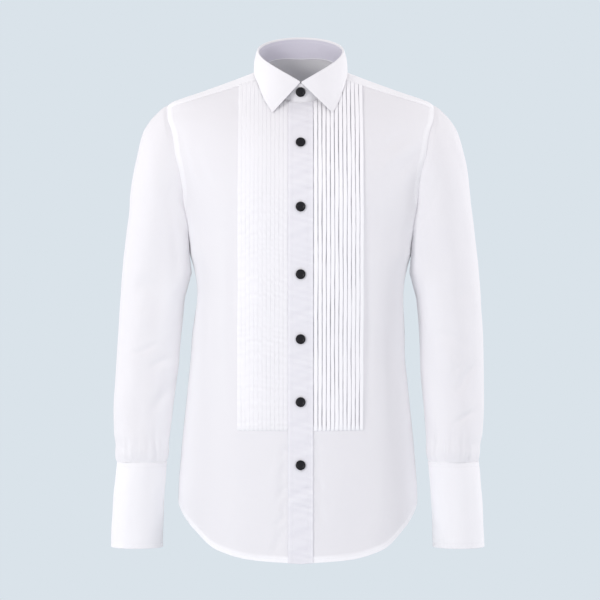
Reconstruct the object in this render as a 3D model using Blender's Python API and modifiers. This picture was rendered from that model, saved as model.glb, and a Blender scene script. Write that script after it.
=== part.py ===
"""A pleated-front formal shirt in the hollow form it has when worn, in metres, +Z up.

The origin lies on the centre plane at the height of the shoulder line beside the neck.
The front faces -Y and the wearer's left is +X. Every panel is a wall of cloth cut from one
smooth body form, which a table of level sections gives. The neck and the armholes are
closed curves on that form, and the collar and the sleeves are lofted from them.
"""

import math

import bpy
import numpy as np
from mathutils import Vector

# --- cloth ---------------------------------------------------------------------------
WALL = 0.0010
CUFF_WALL = 0.0014
SEAM = 0.0003
CURVED_SEAM = 0.0010
NECK_SEAM = 0.0013
ARMHOLE_SEAM = 0.0008
LAID_ON = 0.0008

# --- body form: level sections, top to bottom ----------------------------------------
# z, half_width, front and back depth from the plane through both side seams
BODY = (
    (0.030, 0.0425, 0.0080, 0.0385),
    (0.015, 0.0520, 0.0125, 0.0503),
    (0.000, 0.0620, 0.0190, 0.0600),
    (-0.012, 0.0891, 0.0280, 0.0665),
    (-0.030, 0.1378, 0.0455, 0.0760),
    (-0.049, 0.1880, 0.0610, 0.0860),
    (-0.060, 0.1985, 0.0700, 0.0910),
    (-0.080, 0.2075, 0.0850, 0.0985),
    (-0.115, 0.2070, 0.1035, 0.1085),
    (-0.160, 0.1915, 0.1170, 0.1150),
    (-0.205, 0.1725, 0.1235, 0.1170),
    (-0.245, 0.1622, 0.1245, 0.1150),
    (-0.285, 0.1606, 0.1240, 0.1105),
    (-0.305, 0.1568, 0.1237, 0.1080),
    (-0.330, 0.1543, 0.1230, 0.1050),
    (-0.400, 0.1540, 0.1200, 0.0990),
    (-0.460, 0.1590, 0.1190, 0.1005),
    (-0.550, 0.1680, 0.1195, 0.1110),
    (-0.625, 0.1727, 0.1200, 0.1165),
    (-0.720, 0.1730, 0.1200, 0.1185),
)
SQUARENESS = 2.3
SHOULDER_SEARCH_Z = (-0.13, 0.03)
HALVINGS = 40
NORMAL_STEP = 0.0001

# --- neckline, an ellipse in plan laid on the body form --------------------------------
NECK_HALF_WIDTH = 0.063
NECK_HALF_DEPTH = 0.056
NECK_CENTRE_Y = -0.008

# --- armhole, an oval in side view laid on the body form -------------------------------
ARMHOLE_CENTRE_Z = -0.147
ARMHOLE_HALF_HEIGHT = 0.098
ARMHOLE_FRONT = 0.063
ARMHOLE_BACK = 0.068
ARMHOLE_HOLLOWING = 0.3

# --- yoke seams and hem ----------------------------------------------------------------
YOKE_NECK_ANGLE = math.radians(70)
YOKE_ARMHOLE_ANGLE = math.radians(24)
YOKE_BACK_Z = -0.105
YOKE_SPLIT_X = 0.080
YOKE_SPLIT_ANGLE = math.radians(115)
YOKE_RAY_Z = -0.130
YOKE_RAY_REACH = (0.01, 0.25)
HEM_FRONT_Z = -0.7045
HEM_BACK_Z = -0.7120
HEM_SIDE_Z = -0.619
# turn from the centre to the side seam, and rise from the centre hem to the side hem
HEM = ((0.0, 0.0), (0.25, 0.054), (0.45, 0.205), (0.61, 0.50), (0.80, 0.80), (1.0, 1.0))

# --- front: placket and pleated bibs ---------------------------------------------------
PLACKET_HALF_WIDTH = 0.01725
UNDERLAP_X = 0.0120
FRONT_EDGE_X = 0.0126
BIB_INNER_X = 0.0180
BIB_OUTER_X = 0.0883
BIB_BOTTOM_Z = -0.5164
BIB_PANELS = 6
PLEATS_PER_PANEL = 2
PLEAT_LOW = 0.0010
PLEAT_HIGH = 0.0018
PLEAT_DROP = 0.0005

# --- sleeve rings, from below the armhole seam to the cuff -----------------------------
# outer and inner point of the ring in front view, its half depth and its centre in y
SLEEVE = (
    (0.2023, -0.0575, 0.1630, -0.2500, 0.0665, 0.002),
    (0.2168, -0.0725, 0.1630, -0.2535, 0.0672, 0.002),
    (0.2275, -0.0900, 0.1628, -0.2570, 0.0674, 0.002),
    (0.2345, -0.1150, 0.1625, -0.2615, 0.0670, 0.001),
    (0.2405, -0.1500, 0.1620, -0.2680, 0.0655, 0.000),
    (0.2516, -0.2320, 0.1620, -0.2880, 0.0615, -0.002),
    (0.2562, -0.2755, 0.1648, -0.3050, 0.0595, -0.003),
    (0.2610, -0.3335, 0.1682, -0.3335, 0.0570, -0.004),
    (0.2662, -0.4495, 0.1766, -0.4495, 0.0510, -0.012),
    (0.2665, -0.4950, 0.1815, -0.4950, 0.0485, -0.018),
    (0.2655, -0.5250, 0.1848, -0.5250, 0.0460, -0.022),
    (0.2605, -0.5480, 0.1868, -0.5480, 0.0420, -0.025),
    (0.2598, -0.5656, 0.1882, -0.5656, 0.0382, -0.027),
)

# --- cuff rings, with the same columns -------------------------------------------------
CUFF = (
    (0.2602, -0.5662, 0.1878, -0.5662, 0.0386, -0.027),
    (0.2640, -0.6020, 0.1910, -0.6020, 0.0392, -0.028),
    (0.2672, -0.6450, 0.1930, -0.6450, 0.0396, -0.029),
    (0.2688, -0.6877, 0.1938, -0.6877, 0.0400, -0.030),
)
CUFF_SLIT_SIDE = 3
CUFF_SLIT_HALF_WIDTH = 0.0005
SLEEVE_PLACKET_HALF_WIDTH = 0.0125
SLEEVE_PLACKET_RINGS = 5

# --- collar ----------------------------------------------------------------------------
STAND_TOP_HALF_WIDTH = 0.0613
STAND_TOP_HALF_DEPTH = 0.0570
STAND_TOP_CENTRE_Y = -0.0095
STAND_TOP_FRONT_Z = -0.0262
STAND_TOP_SIDE_Z = 0.0253
STAND_TOP_BACK_Z = 0.0488
STAND_V_SHARE = 0.72
STAND_LAP = 0.00075
STAND_OVER_END = math.radians(193.5)
STAND_UNDER_END = math.radians(191.5)
STAND_LAP_FULL = math.radians(166)
STAND_LAP_NONE = math.radians(115)
STAND_CORNER = math.radians(9)
STAND_CORNER_START = 0.35
STAND_CORNER_DROP = 0.55
LEAF_START_ANGLE = math.radians(1.2)
LEAF_ROOT_GAP = 0.0005
LEAF_FOLD_RADIUS = 0.00085
LEAF_FOLD_EXTRA = 0.0008
LEAF_FOLD_RISE = 0.0013
LEAF_BULGE = 0.0018
LEAF_TIP_SHIFT = 0.0026
LEAF_TIP_POWER = 8
LEAF_FOLD_BENDS = (180, 135, 90, 45, 0)
# fold angle from the front, plan position of the leaf's outer edge, height over the body
LEAF_EDGE = (
    (1.2, 0.0430, -0.0785, 0.0050),
    (28.0, 0.0535, -0.0625, 0.0055),
    (55.0, 0.0620, -0.0400, 0.0045),
    (80.0, 0.0672, -0.0150, 0.0035),
    (100.0, 0.0668, 0.0080, 0.0030),
    (130.0, 0.0520, 0.0380, 0.0030),
    (155.0, 0.0285, 0.0530, 0.0030),
    (180.0, 0.0000, 0.0582, 0.0030),
    (205.0, -0.0285, 0.0530, 0.0030),
)

# --- buttons ---------------------------------------------------------------------------
BUTTON_RADIUS = 0.0070
BUTTON_THICKNESS = 0.0028
BUTTON_RIM = 0.0007
BUTTON_DISH = 0.0005
BUTTON_DISH_RADIUS = 0.0043
BUTTON_LIP_RADIUS = 0.0052
STAND_BUTTON_Z = -0.0368
PLACKET_BUTTON_Z = (-0.1118, -0.2025, -0.2972, -0.3884, -0.4771, -0.5658)

# --- how finely the walls are divided ----------------------------------------------------
HEM_ROWS = 4
# share of the way from the bib's bottom edge to the top of a front
FRONT_ROWS = np.array([0.0, 0.16, 0.32, 0.46, 0.59, 0.70, 0.79, 0.86, 0.92, 0.964, 1.0])
FLANK_COLUMNS = 6
FLANK_ARM_ROWS = 8
BACK_COLUMNS = 14
BACK_SIDE_ROWS = 9
BACK_ARM_ROWS = 6
YOKE_SEAM_COLUMNS = 6
YOKE_NECK_COLUMNS = 8
YOKE_ROWS = 9
YOKE_BACK_ROWS = 7
YOKE_PULL = 1.4
SLEEVE_SIDES = 16
CUFF_SIDES = 20
STAND_COLUMNS = 28
STAND_UNDER_COLUMNS = 2
STAND_OVER_COLUMNS = 3
STAND_ROWS = 3
LEAF_COLUMNS = 22
LEAF_ROWS = 4
BUTTON_SIDES = 20
MERGE = 0.00001

# --- materials: base colour, roughness ---------------------------------------------------
WHITE_CLOTH = ("white_cotton", (0.86, 0.86, 0.90, 1.0), 0.75)
BLACK_PLASTIC = ("black_plastic", (0.010, 0.010, 0.012, 1.0), 0.28)

COLLECTION = "long_sleeve_dress_shirt"


# --- smooth curves and the body form ---------------------------------------------------
def curve_through(knots, values):
    """A smooth function through the knots that doesn't overshoot between them."""
    order = np.argsort(knots)
    knots = np.asarray(knots, float)[order]
    values = np.asarray(values, float)[order]
    step = np.diff(knots)
    rise = np.diff(values) / step
    product = rise[:-1] * rise[1:]
    total = np.where(product > 0, rise[:-1] + rise[1:], 1.0)
    slope = np.concatenate([rise[:1], np.where(product > 0, 2 * product / total, 0.0), rise[-1:]])

    def at(x):
        x = np.clip(x, knots[0], knots[-1])
        i = np.clip(np.searchsorted(knots, x) - 1, 0, len(step) - 1)
        t = (x - knots[i]) / step[i]
        start = (1 + 2 * t) * (1 - t) ** 2 * values[i] + t * (1 - t) ** 2 * step[i] * slope[i]
        end = t * t * (3 - 2 * t) * values[i + 1] - t * t * (1 - t) * step[i] * slope[i + 1]
        return start + end

    return at


BODY_COLUMNS = list(zip(*BODY))
half_width = curve_through(BODY_COLUMNS[0], BODY_COLUMNS[1])
front_depth = curve_through(BODY_COLUMNS[0], BODY_COLUMNS[2])
back_depth = curve_through(BODY_COLUMNS[0], BODY_COLUMNS[3])
hem_rise = curve_through(*zip(*HEM))


def depth(y, z):
    return np.where(np.asarray(y) > 0, back_depth(z), front_depth(z))


def other_axis(share):
    """How far a section reaches along one axis where it reaches this share of the other."""
    return np.clip(1 - np.abs(share) ** SQUARENESS, 0, 1) ** (1 / SQUARENESS)


def body_level(x, y, z):
    """Below 0 inside the body form, 0 on it, above 0 outside."""
    return (np.abs(x) / half_width(z)) ** SQUARENESS + (np.abs(y) / depth(y, z)) ** SQUARENESS - 1


def body_normal(points):
    rises = []
    for step in NORMAL_STEP * np.eye(3):
        ahead = body_level(*np.moveaxis(points + step, -1, 0))
        behind = body_level(*np.moveaxis(points - step, -1, 0))
        rises.append(ahead - behind)
    return unit(np.stack(rises, -1))


def unit(vectors):
    return vectors / np.linalg.norm(vectors, axis=-1, keepdims=True)


def front_at(x, z):
    x, z = np.broadcast_arrays(np.asarray(x, float), z)
    return np.stack([x, -front_depth(z) * other_axis(x / half_width(z)), z], -1)


def back_at(x, z):
    x, z = np.broadcast_arrays(np.asarray(x, float), z)
    return np.stack([x, back_depth(z) * other_axis(x / half_width(z)), z], -1)


def side_at(y, z):
    y, z = np.broadcast_arrays(np.asarray(y, float), z)
    return np.stack([half_width(z) * other_axis(y / depth(y, z)), y, z], -1)


def shoulder_height(x, y):
    """Height of the body form over a point of its plan, near the neck and shoulders."""
    low = np.full(np.shape(x), SHOULDER_SEARCH_Z[0])
    high = np.full(np.shape(x), SHOULDER_SEARCH_Z[1])
    for _ in range(HALVINGS):
        middle = (low + high) / 2
        inside = body_level(x, y, middle) < 0
        low = np.where(inside, middle, low)
        high = np.where(inside, high, middle)
    return low


def on_ring(turn, z):
    """The body form at an angle round the section at z, from the front centre to +X."""
    sine, cosine = np.sin(turn), np.cos(turn)
    reach = (np.abs(sine) ** SQUARENESS + np.abs(cosine) ** SQUARENESS) ** (-1 / SQUARENESS)
    deep = np.where(cosine < 0, back_depth(z), front_depth(z))
    return np.stack([half_width(z) * sine * reach, -deep * cosine * reach, z], -1)


def to_ring(points):
    """The angle and the height of points on the body form, as on_ring takes them."""
    x, y, z = np.moveaxis(points, -1, 0)
    return np.stack([np.arctan2(x / half_width(z), -y / depth(y, z)), z], -1)


def over_shoulder(x, tilt):
    """The body form along a ray in the plane at x, tilted back from straight up."""
    near = np.full(np.shape(x), YOKE_RAY_REACH[0])
    far = np.full(np.shape(x), YOKE_RAY_REACH[1])
    for _ in range(HALVINGS):
        middle = (near + far) / 2
        z = YOKE_RAY_Z + middle * np.cos(tilt)
        inside = body_level(x, middle * np.sin(tilt), z) < 0
        near = np.where(inside, middle, near)
        far = np.where(inside, far, middle)
    return np.stack([x, near * np.sin(tilt), YOKE_RAY_Z + near * np.cos(tilt)], -1)


def to_shoulder(points):
    return np.stack([points[:, 0], np.arctan2(points[:, 1], points[:, 2] - YOKE_RAY_Z)], -1)


def neckline(angle, clear=0.0):
    """The neck seam at an angle from the front centre towards +X."""
    x = (NECK_HALF_WIDTH + clear) * np.sin(angle)
    y = NECK_CENTRE_Y - (NECK_HALF_DEPTH + clear) * np.cos(angle)
    return np.stack([x, y, shoulder_height(x, y)], -1)


def armhole(angle):
    """The armhole seam on the +X side, from its top towards the front."""
    sine = np.sin(angle)
    front = ARMHOLE_FRONT * np.abs(sine) ** ARMHOLE_HOLLOWING
    reach = np.where(sine > 0, front, ARMHOLE_BACK)
    z = ARMHOLE_CENTRE_Z + ARMHOLE_HALF_HEIGHT * np.cos(angle)
    return side_at(-reach * sine, z)


def hem_z(turn, centre_z):
    """Height of the hem at an angle from the centre towards the side seam."""
    return centre_z + (HEM_SIDE_Z - centre_z) * hem_rise(turn / (math.pi / 2))


# --- grids and meshes --------------------------------------------------------------------
def spread(start, end, steps):
    return np.linspace(start, end, steps + 1)


def pulled(steps, pull):
    """Shares from 0 to 1 that a pull above 1 draws together towards 1."""
    return 1 - (1 - spread(0, 1, steps)) ** pull


def coons(bottom, top, left, right, pull=1.0):
    """A grid between four edges, as [column, row]; left and right run from bottom to top."""
    u = spread(0, 1, len(bottom) - 1)[:, None, None]
    v = pulled(len(left) - 1, pull)[None, :, None]
    rows = (1 - v) * bottom[:, None] + v * top[:, None]
    columns = (1 - u) * left[None] + u * right[None]
    corners = (1 - v) * ((1 - u) * bottom[0] + u * bottom[-1])
    corners = corners + v * ((1 - u) * top[0] + u * top[-1])
    return rows + columns - corners


def mirrored(grid):
    """The grid on the other side of the centre plane, with its outside still outside."""
    return (grid * np.array([-1.0, 1.0, 1.0]))[::-1]


def grid_faces(columns, rows, closed=False):
    faces = []
    for i in range(columns if closed else columns - 1):
        here, there = i * rows, (i + 1) % columns * rows
        for j in range(rows - 1):
            faces.append((here + j, there + j, there + j + 1, here + j + 1))
    return faces


def material(look):
    name, colour, roughness = look
    made = bpy.data.materials.get(name) or bpy.data.materials.new(name)
    made.use_nodes = True
    shader = made.node_tree.nodes["Principled BSDF"]
    shader.inputs["Base Color"].default_value = colour
    shader.inputs["Roughness"].default_value = roughness
    shader.inputs["Metallic"].default_value = 0.0
    return made


def new_object(name, points, faces, look):
    mesh = bpy.data.meshes.new(name)
    mesh.from_pydata([tuple(p) for p in points.reshape(-1, 3)], [], faces)
    mesh.materials.append(material(look))
    mesh.shade_smooth()
    piece = bpy.data.objects.new(name, mesh)
    bpy.data.collections[COLLECTION].objects.link(piece)
    return piece


def cloth(name, *grids, closed=False, side=-1.0, thickness=WALL):
    """A wall of cloth on grids that run anticlockwise seen from outside, welded where they meet."""
    faces = []
    first = 0
    for grid in grids:
        columns, rows = grid.shape[:2]
        faces += [tuple(first + k for k in face) for face in grid_faces(columns, rows, closed)]
        first += columns * rows
    points = np.concatenate([grid.reshape(-1, 3) for grid in grids])
    piece = new_object(name, points, faces, WHITE_CLOTH)
    if len(grids) > 1:
        piece.modifiers.new("shared edges", "WELD").merge_threshold = MERGE
    wall = piece.modifiers.new("wall", "SOLIDIFY")
    wall.thickness = thickness
    wall.offset = side
    return piece


def cloth_between(name, inner, outer):
    """A wall of cloth whose thickness varies, between its inner and its outer grid."""
    columns, rows = inner.shape[:2]
    count = columns * rows
    outside = grid_faces(columns, rows)
    inside = [tuple(count + k for k in reversed(face)) for face in outside]
    edge = list(range(rows))
    edge += [i * rows + rows - 1 for i in range(1, columns)]
    edge += [(columns - 1) * rows + j for j in range(rows - 2, -1, -1)]
    edge += [i * rows for i in range(columns - 2, 0, -1)]
    rim = [(a, b, count + b, count + a) for a, b in zip(edge, edge[1:] + edge[:1])]
    points = np.concatenate([outer.reshape(-1, 3), inner.reshape(-1, 3)])
    return new_object(name, points, outside + inside + rim, WHITE_CLOTH)


# --- front panels, placket and bibs --------------------------------------------------------
def yoke_front_ends(shift):
    """Ends of the front yoke seam on the neckline and on the armhole."""
    neck = neckline(YOKE_NECK_ANGLE + shift / NECK_HALF_WIDTH, NECK_SEAM)
    arm = armhole(YOKE_ARMHOLE_ANGLE - shift / ARMHOLE_HALF_HEIGHT)
    return neck, arm


def yoke_front_z(x, shift=0.0):
    """The front yoke seam is straight in front view."""
    neck, arm = yoke_front_ends(shift)
    return neck[2] + (x - neck[0]) * (arm[2] - neck[2]) / (arm[0] - neck[0])


def front_top_z(x):
    """Where a front panel ends: on the neckline, then on the yoke seam."""
    neck_x = yoke_front_ends(-CURVED_SEAM / 2)[0][0]
    x = abs(x)
    if x < neck_x:
        angle = math.asin(x / (NECK_HALF_WIDTH + NECK_SEAM))
        return float(neckline(angle, NECK_SEAM)[2])
    return float(yoke_front_z(x, -CURVED_SEAM / 2))


def front_column(x):
    """Heights of the panel's rows at x, from the hem to the neckline or the yoke seam."""
    turn = to_ring(front_at(abs(x), HEM_FRONT_Z))[0]
    low = float(hem_z(turn, HEM_FRONT_Z))
    below = spread(low, BIB_BOTTOM_Z, HEM_ROWS)[:-1]
    return np.concatenate([below, BIB_BOTTOM_Z + (front_top_z(x) - BIB_BOTTOM_Z) * FRONT_ROWS])


def front_columns(xs):
    return np.stack([front_at(x, front_column(x)) for x in xs])


def bib_xs():
    return spread(BIB_INNER_X, BIB_OUTER_X, BIB_PANELS)


def front_panel(edge_xs):
    """Front panel on the +X side: straight columns under the bib, then out to the side."""
    middle = front_columns(np.concatenate([edge_xs, bib_xs()]))
    left = to_ring(middle[-1])
    turn_end = math.pi / 2 - CURVED_SEAM / 2 / half_width(HEM_SIDE_Z)
    turns = spread(left[0, 0], turn_end, FLANK_COLUMNS)
    bottom = np.stack([turns, hem_z(turns, HEM_FRONT_Z)], -1)
    arm_end = YOKE_ARMHOLE_ANGLE + CURVED_SEAM / 2 / ARMHOLE_HALF_HEIGHT
    top_x = spread(BIB_OUTER_X, armhole(arm_end)[0], FLANK_COLUMNS)
    top = to_ring(front_at(top_x, yoke_front_z(top_x, -CURVED_SEAM / 2)))
    side_rows = len(left) - 1 - FLANK_ARM_ROWS
    armpit_z = ARMHOLE_CENTRE_Z - ARMHOLE_HALF_HEIGHT
    side_z = spread(bottom[-1, 1], armpit_z, side_rows)[:-1]
    side = np.stack([np.full(side_rows, turn_end), side_z], -1)
    arm = to_ring(armhole(spread(math.pi, arm_end, FLANK_ARM_ROWS)))
    arm[0, 0] = turn_end
    right = np.concatenate([side, arm])
    top[-1] = right[-1]
    flank = coons(bottom, top, left, right)
    return np.concatenate([middle, on_ring(flank[1:, :, 0], flank[1:, :, 1])])


def make_fronts():
    cloth("front_left", front_panel([FRONT_EDGE_X]))
    cloth("front_right", mirrored(front_panel([-UNDERLAP_X, 0.0])))


def make_placket():
    base = front_columns([-PLACKET_HALF_WIDTH, 0.0, PLACKET_HALF_WIDTH])
    cloth("placket", base + body_normal(base) * LAID_ON, side=1.0)


def bib_grids():
    """Inner and outer grid of the +X bib, from the panel's own points under it."""
    base = front_columns(bib_xs())[:, HEM_ROWS:]
    normals = body_normal(base)
    pitch = (BIB_OUTER_X - BIB_INNER_X) / BIB_PANELS / PLEATS_PER_PANEL
    drop = PLEAT_DROP / pitch
    inner, outer = [], []
    for panel in range(BIB_PANELS):
        for pleat in range(PLEATS_PER_PANEL):
            for part, height in ((0.0, PLEAT_LOW), (1.0 - drop, PLEAT_HIGH)):
                share = (pleat + part) / PLEATS_PER_PANEL
                at = base[panel] * (1 - share) + base[panel + 1] * share
                normal = unit(normals[panel] * (1 - share) + normals[panel + 1] * share)
                inner.append(at + normal * LAID_ON)
                outer.append(at + normal * (LAID_ON + height))
    inner.append(base[-1] + normals[-1] * LAID_ON)
    outer.append(base[-1] + normals[-1] * (LAID_ON + PLEAT_LOW))
    return np.stack(inner), np.stack(outer)


def make_bibs():
    inner, outer = bib_grids()
    cloth_between("bib_left", inner, outer)
    cloth_between("bib_right", mirrored(inner), mirrored(outer))


# --- back and yoke ---------------------------------------------------------------------------
def back_armhole_angle(z):
    return -math.acos((z - ARMHOLE_CENTRE_Z) / ARMHOLE_HALF_HEIGHT)


def make_back():
    top_z = YOKE_BACK_Z - SEAM / 2
    start = math.pi / 2 + CURVED_SEAM / 2 / half_width(HEM_SIDE_Z)
    turns = spread(start, 2 * math.pi - start, BACK_COLUMNS)
    away = np.abs(turns - math.pi)
    bottom = np.stack([turns, hem_z(away, HEM_BACK_Z)], -1)
    armpit_z = ARMHOLE_CENTRE_Z - ARMHOLE_HALF_HEIGHT
    side_z = spread(bottom[0, 1], armpit_z, BACK_SIDE_ROWS)[:-1]
    side = np.stack([np.full(BACK_SIDE_ROWS, start), side_z], -1)
    arm = to_ring(armhole(spread(-math.pi, back_armhole_angle(top_z), BACK_ARM_ROWS)))
    arm[0, 0] = start
    left = np.concatenate([side, arm])
    right = np.stack([2 * math.pi - left[:, 0], left[:, 1]], -1)
    top_turn = spread(left[-1, 0], right[-1, 0], BACK_COLUMNS)
    top = np.stack([top_turn, np.full(len(top_turn), top_z)], -1)
    grid = coons(bottom, top, left, right)
    cloth("back", on_ring(grid[..., 0], grid[..., 1]))


def yoke_grids():
    """The shoulder part on the +X side and the part behind the neck, which share an edge."""
    shift = CURVED_SEAM / 2
    low_z = YOKE_BACK_Z + SEAM / 2
    arm_front = YOKE_ARMHOLE_ANGLE - shift / ARMHOLE_HALF_HEIGHT
    arm_back = back_armhole_angle(low_z)
    neck_front = YOKE_NECK_ANGLE + shift / NECK_HALF_WIDTH
    arm = to_shoulder(armhole(spread(arm_back, arm_front, YOKE_ROWS)))
    seam_x = spread(armhole(arm_front)[0], neckline(neck_front, NECK_SEAM)[0], YOKE_SEAM_COLUMNS)
    seam = to_shoulder(front_at(seam_x, yoke_front_z(seam_x, shift)))
    beside_neck = spread(YOKE_SPLIT_ANGLE, neck_front, YOKE_ROWS - YOKE_BACK_ROWS)
    beside_neck = to_shoulder(neckline(beside_neck, NECK_SEAM))
    back_x = spread(armhole(arm_back)[0], YOKE_SPLIT_X, YOKE_SEAM_COLUMNS)
    bottom = to_shoulder(back_at(back_x, low_z))
    climb = pulled(YOKE_BACK_ROWS, YOKE_PULL)[:, None]
    split = bottom[-1] + (beside_neck[0] - bottom[-1]) * climb
    seam[0], bottom[0] = arm[-1], arm[0]
    inner = np.concatenate([split[:-1], beside_neck])
    inner[-1] = seam[-1]
    shoulder = coons(bottom, seam, arm, inner)
    behind_neck = spread(YOKE_SPLIT_ANGLE, 2 * math.pi - YOKE_SPLIT_ANGLE, YOKE_NECK_COLUMNS)
    neck = to_shoulder(neckline(behind_neck, NECK_SEAM))
    middle_x = spread(YOKE_SPLIT_X, -YOKE_SPLIT_X, YOKE_NECK_COLUMNS)
    low = to_shoulder(back_at(middle_x, low_z))
    flip = np.array([-1.0, 1.0])
    neck[-1], low[-1] = neck[0] * flip, low[0] * flip
    middle = coons(low, neck, split, split * flip, YOKE_PULL)
    return [over_shoulder(grid[..., 0], grid[..., 1]) for grid in (shoulder, middle)]


def make_yoke():
    """One piece over both shoulders, from armhole to armhole behind the neck."""
    shoulder, middle = yoke_grids()
    cloth("yoke", shoulder, middle, mirrored(shoulder))


# --- sleeves and cuffs -------------------------------------------------------------------------
def ring_points(row, angles):
    """A sleeve or cuff ring from its outer point towards the front."""
    outer_x, outer_z, inner_x, inner_z, half, centre_y = row
    middle = np.array([(outer_x + inner_x) / 2, centre_y, (outer_z + inner_z) / 2])
    across = np.array([(outer_x - inner_x) / 2, 0.0, (outer_z - inner_z) / 2])
    forward = np.array([0.0, -half, 0.0])
    return middle + np.cos(angles)[:, None] * across + np.sin(angles)[:, None] * forward


def seam_edge(seam, normals, towards, gap):
    """Moves a seam curve's points a gap off the panel's edge, into the bend that starts there."""
    along = np.roll(seam, -1, 0) - np.roll(seam, 1, 0)
    outward = unit(np.cross(normals, along))
    outward *= np.sign(np.sum(outward * towards, -1).sum())
    start = unit(towards)
    half_bend = np.arccos(np.clip(np.sum(outward * start, -1), -1, 1)) / 2
    cosine, sine = np.cos(half_bend)[:, None], np.sin(half_bend)[:, None]
    return seam + gap * (outward * cosine + normals * sine)


def sleeve_grid():
    angles = spread(0, 2 * math.pi, SLEEVE_SIDES)[:-1]
    rings = [ring_points(row, angles) for row in SLEEVE]
    seam = armhole(np.where(angles > math.pi, angles - 2 * math.pi, angles))
    edge = seam_edge(seam, body_normal(seam), rings[0] - seam, ARMHOLE_SEAM)
    return np.stack([edge] + rings, 1)


def cuff_grid():
    """The cuff is open at the back: its two ends stand a slit apart."""
    middle_row = CUFF[len(CUFF) // 2]
    slit = -CUFF_SLIT_SIDE * 2 * math.pi / SLEEVE_SIDES
    half = CUFF_SLIT_HALF_WIDTH / middle_row[4]
    angles = spread(slit + half, slit + 2 * math.pi - half, CUFF_SIDES)
    return np.stack([ring_points(row, angles) for row in CUFF], 1)


def sleeve_placket_grid(sleeve):
    """A strip over the slit, on the sleeve's own points above the cuff."""
    centre = SLEEVE_SIDES - CUFF_SLIT_SIDE
    rows = sleeve[:, -SLEEVE_PLACKET_RINGS:]
    middle = rows[centre]
    before = middle + unit(rows[centre - 1] - middle) * SLEEVE_PLACKET_HALF_WIDTH
    after = middle + unit(rows[centre + 1] - middle) * SLEEVE_PLACKET_HALF_WIDTH
    columns = np.stack([before, middle, after])
    outward = columns - rows.mean(0)
    return columns + unit(outward * np.array([1.0, 1.0, 0.0])) * SEAM


def make_sleeves():
    sleeve = sleeve_grid()
    cuff = cuff_grid()
    strip = sleeve_placket_grid(sleeve)
    for side, turned in (("left", lambda grid: grid), ("right", mirrored)):
        cloth("sleeve_" + side, turned(sleeve), closed=True)
        cloth("cuff_" + side, turned(cuff), thickness=CUFF_WALL)
        cloth("sleeve_placket_" + side, turned(strip), side=1.0)


# --- collar ------------------------------------------------------------------------------------
def stand_top(angle, lap=0.0):
    """Upper edge of the stand's outer face, at an angle from the front centre towards +X."""
    sine, cosine = np.sin(angle), np.cos(angle)
    x = (STAND_TOP_HALF_WIDTH + lap) * sine
    y = STAND_TOP_CENTRE_Y - (STAND_TOP_HALF_DEPTH + lap) * cosine
    v_shape = STAND_V_SHARE * np.abs(sine) + (1 - STAND_V_SHARE) * (1 - cosine) ** 2
    front = STAND_TOP_FRONT_Z + (STAND_TOP_SIDE_Z - STAND_TOP_FRONT_Z) * v_shape
    back = STAND_TOP_SIDE_Z - (STAND_TOP_BACK_Z - STAND_TOP_SIDE_Z) * cosine
    return np.stack([x, y, np.where(cosine > 0, front, back)], -1)


def lap_offset(around):
    """How far the stand moves out towards its over end and in towards its under end."""
    share = np.clip((np.abs(around) - STAND_LAP_NONE) / (STAND_LAP_FULL - STAND_LAP_NONE), 0, 1)
    return -np.sign(around) * STAND_LAP * share * share * (3 - 2 * share)


def stand_grid():
    """From the under end, on the +X side, round the back to the over end on the -X side."""
    around = np.concatenate(
        [
            spread(STAND_UNDER_END, math.pi, STAND_UNDER_COLUMNS)[:-1],
            spread(math.pi, -math.pi, STAND_COLUMNS),
            spread(-math.pi, -STAND_OVER_END, STAND_OVER_COLUMNS)[1:],
        ]
    )
    angle = math.pi + around
    lap = lap_offset(around)
    seam = neckline(angle)
    top = stand_top(angle, lap)
    from_centre = seam - np.array([0.0, NECK_CENTRE_Y, 0.0])
    inward = unit(np.cross(body_normal(seam), np.gradient(seam, axis=0)))
    inward *= -np.sign(np.sum(inward * from_centre, -1).sum())
    outward = unit(from_centre) * np.array([1.0, 1.0, 0.0])
    base = seam + SEAM * unit(inward + unit(top - seam)) + outward * lap[:, None]
    past = (np.abs(around) - math.pi) / STAND_CORNER
    rounded = np.clip(past - STAND_CORNER_START, 0, 1)[:, None]
    rise = (top - base) * (1 - STAND_CORNER_DROP * rounded**2)
    return np.stack([base + rise * share for share in spread(0, 1, STAND_ROWS)], 1)


def leaf_edge_curves():
    angle, x, y, lift = zip(*LEAF_EDGE)
    return [curve_through(np.radians(angle), values) for values in (x, y, lift)]


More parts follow.
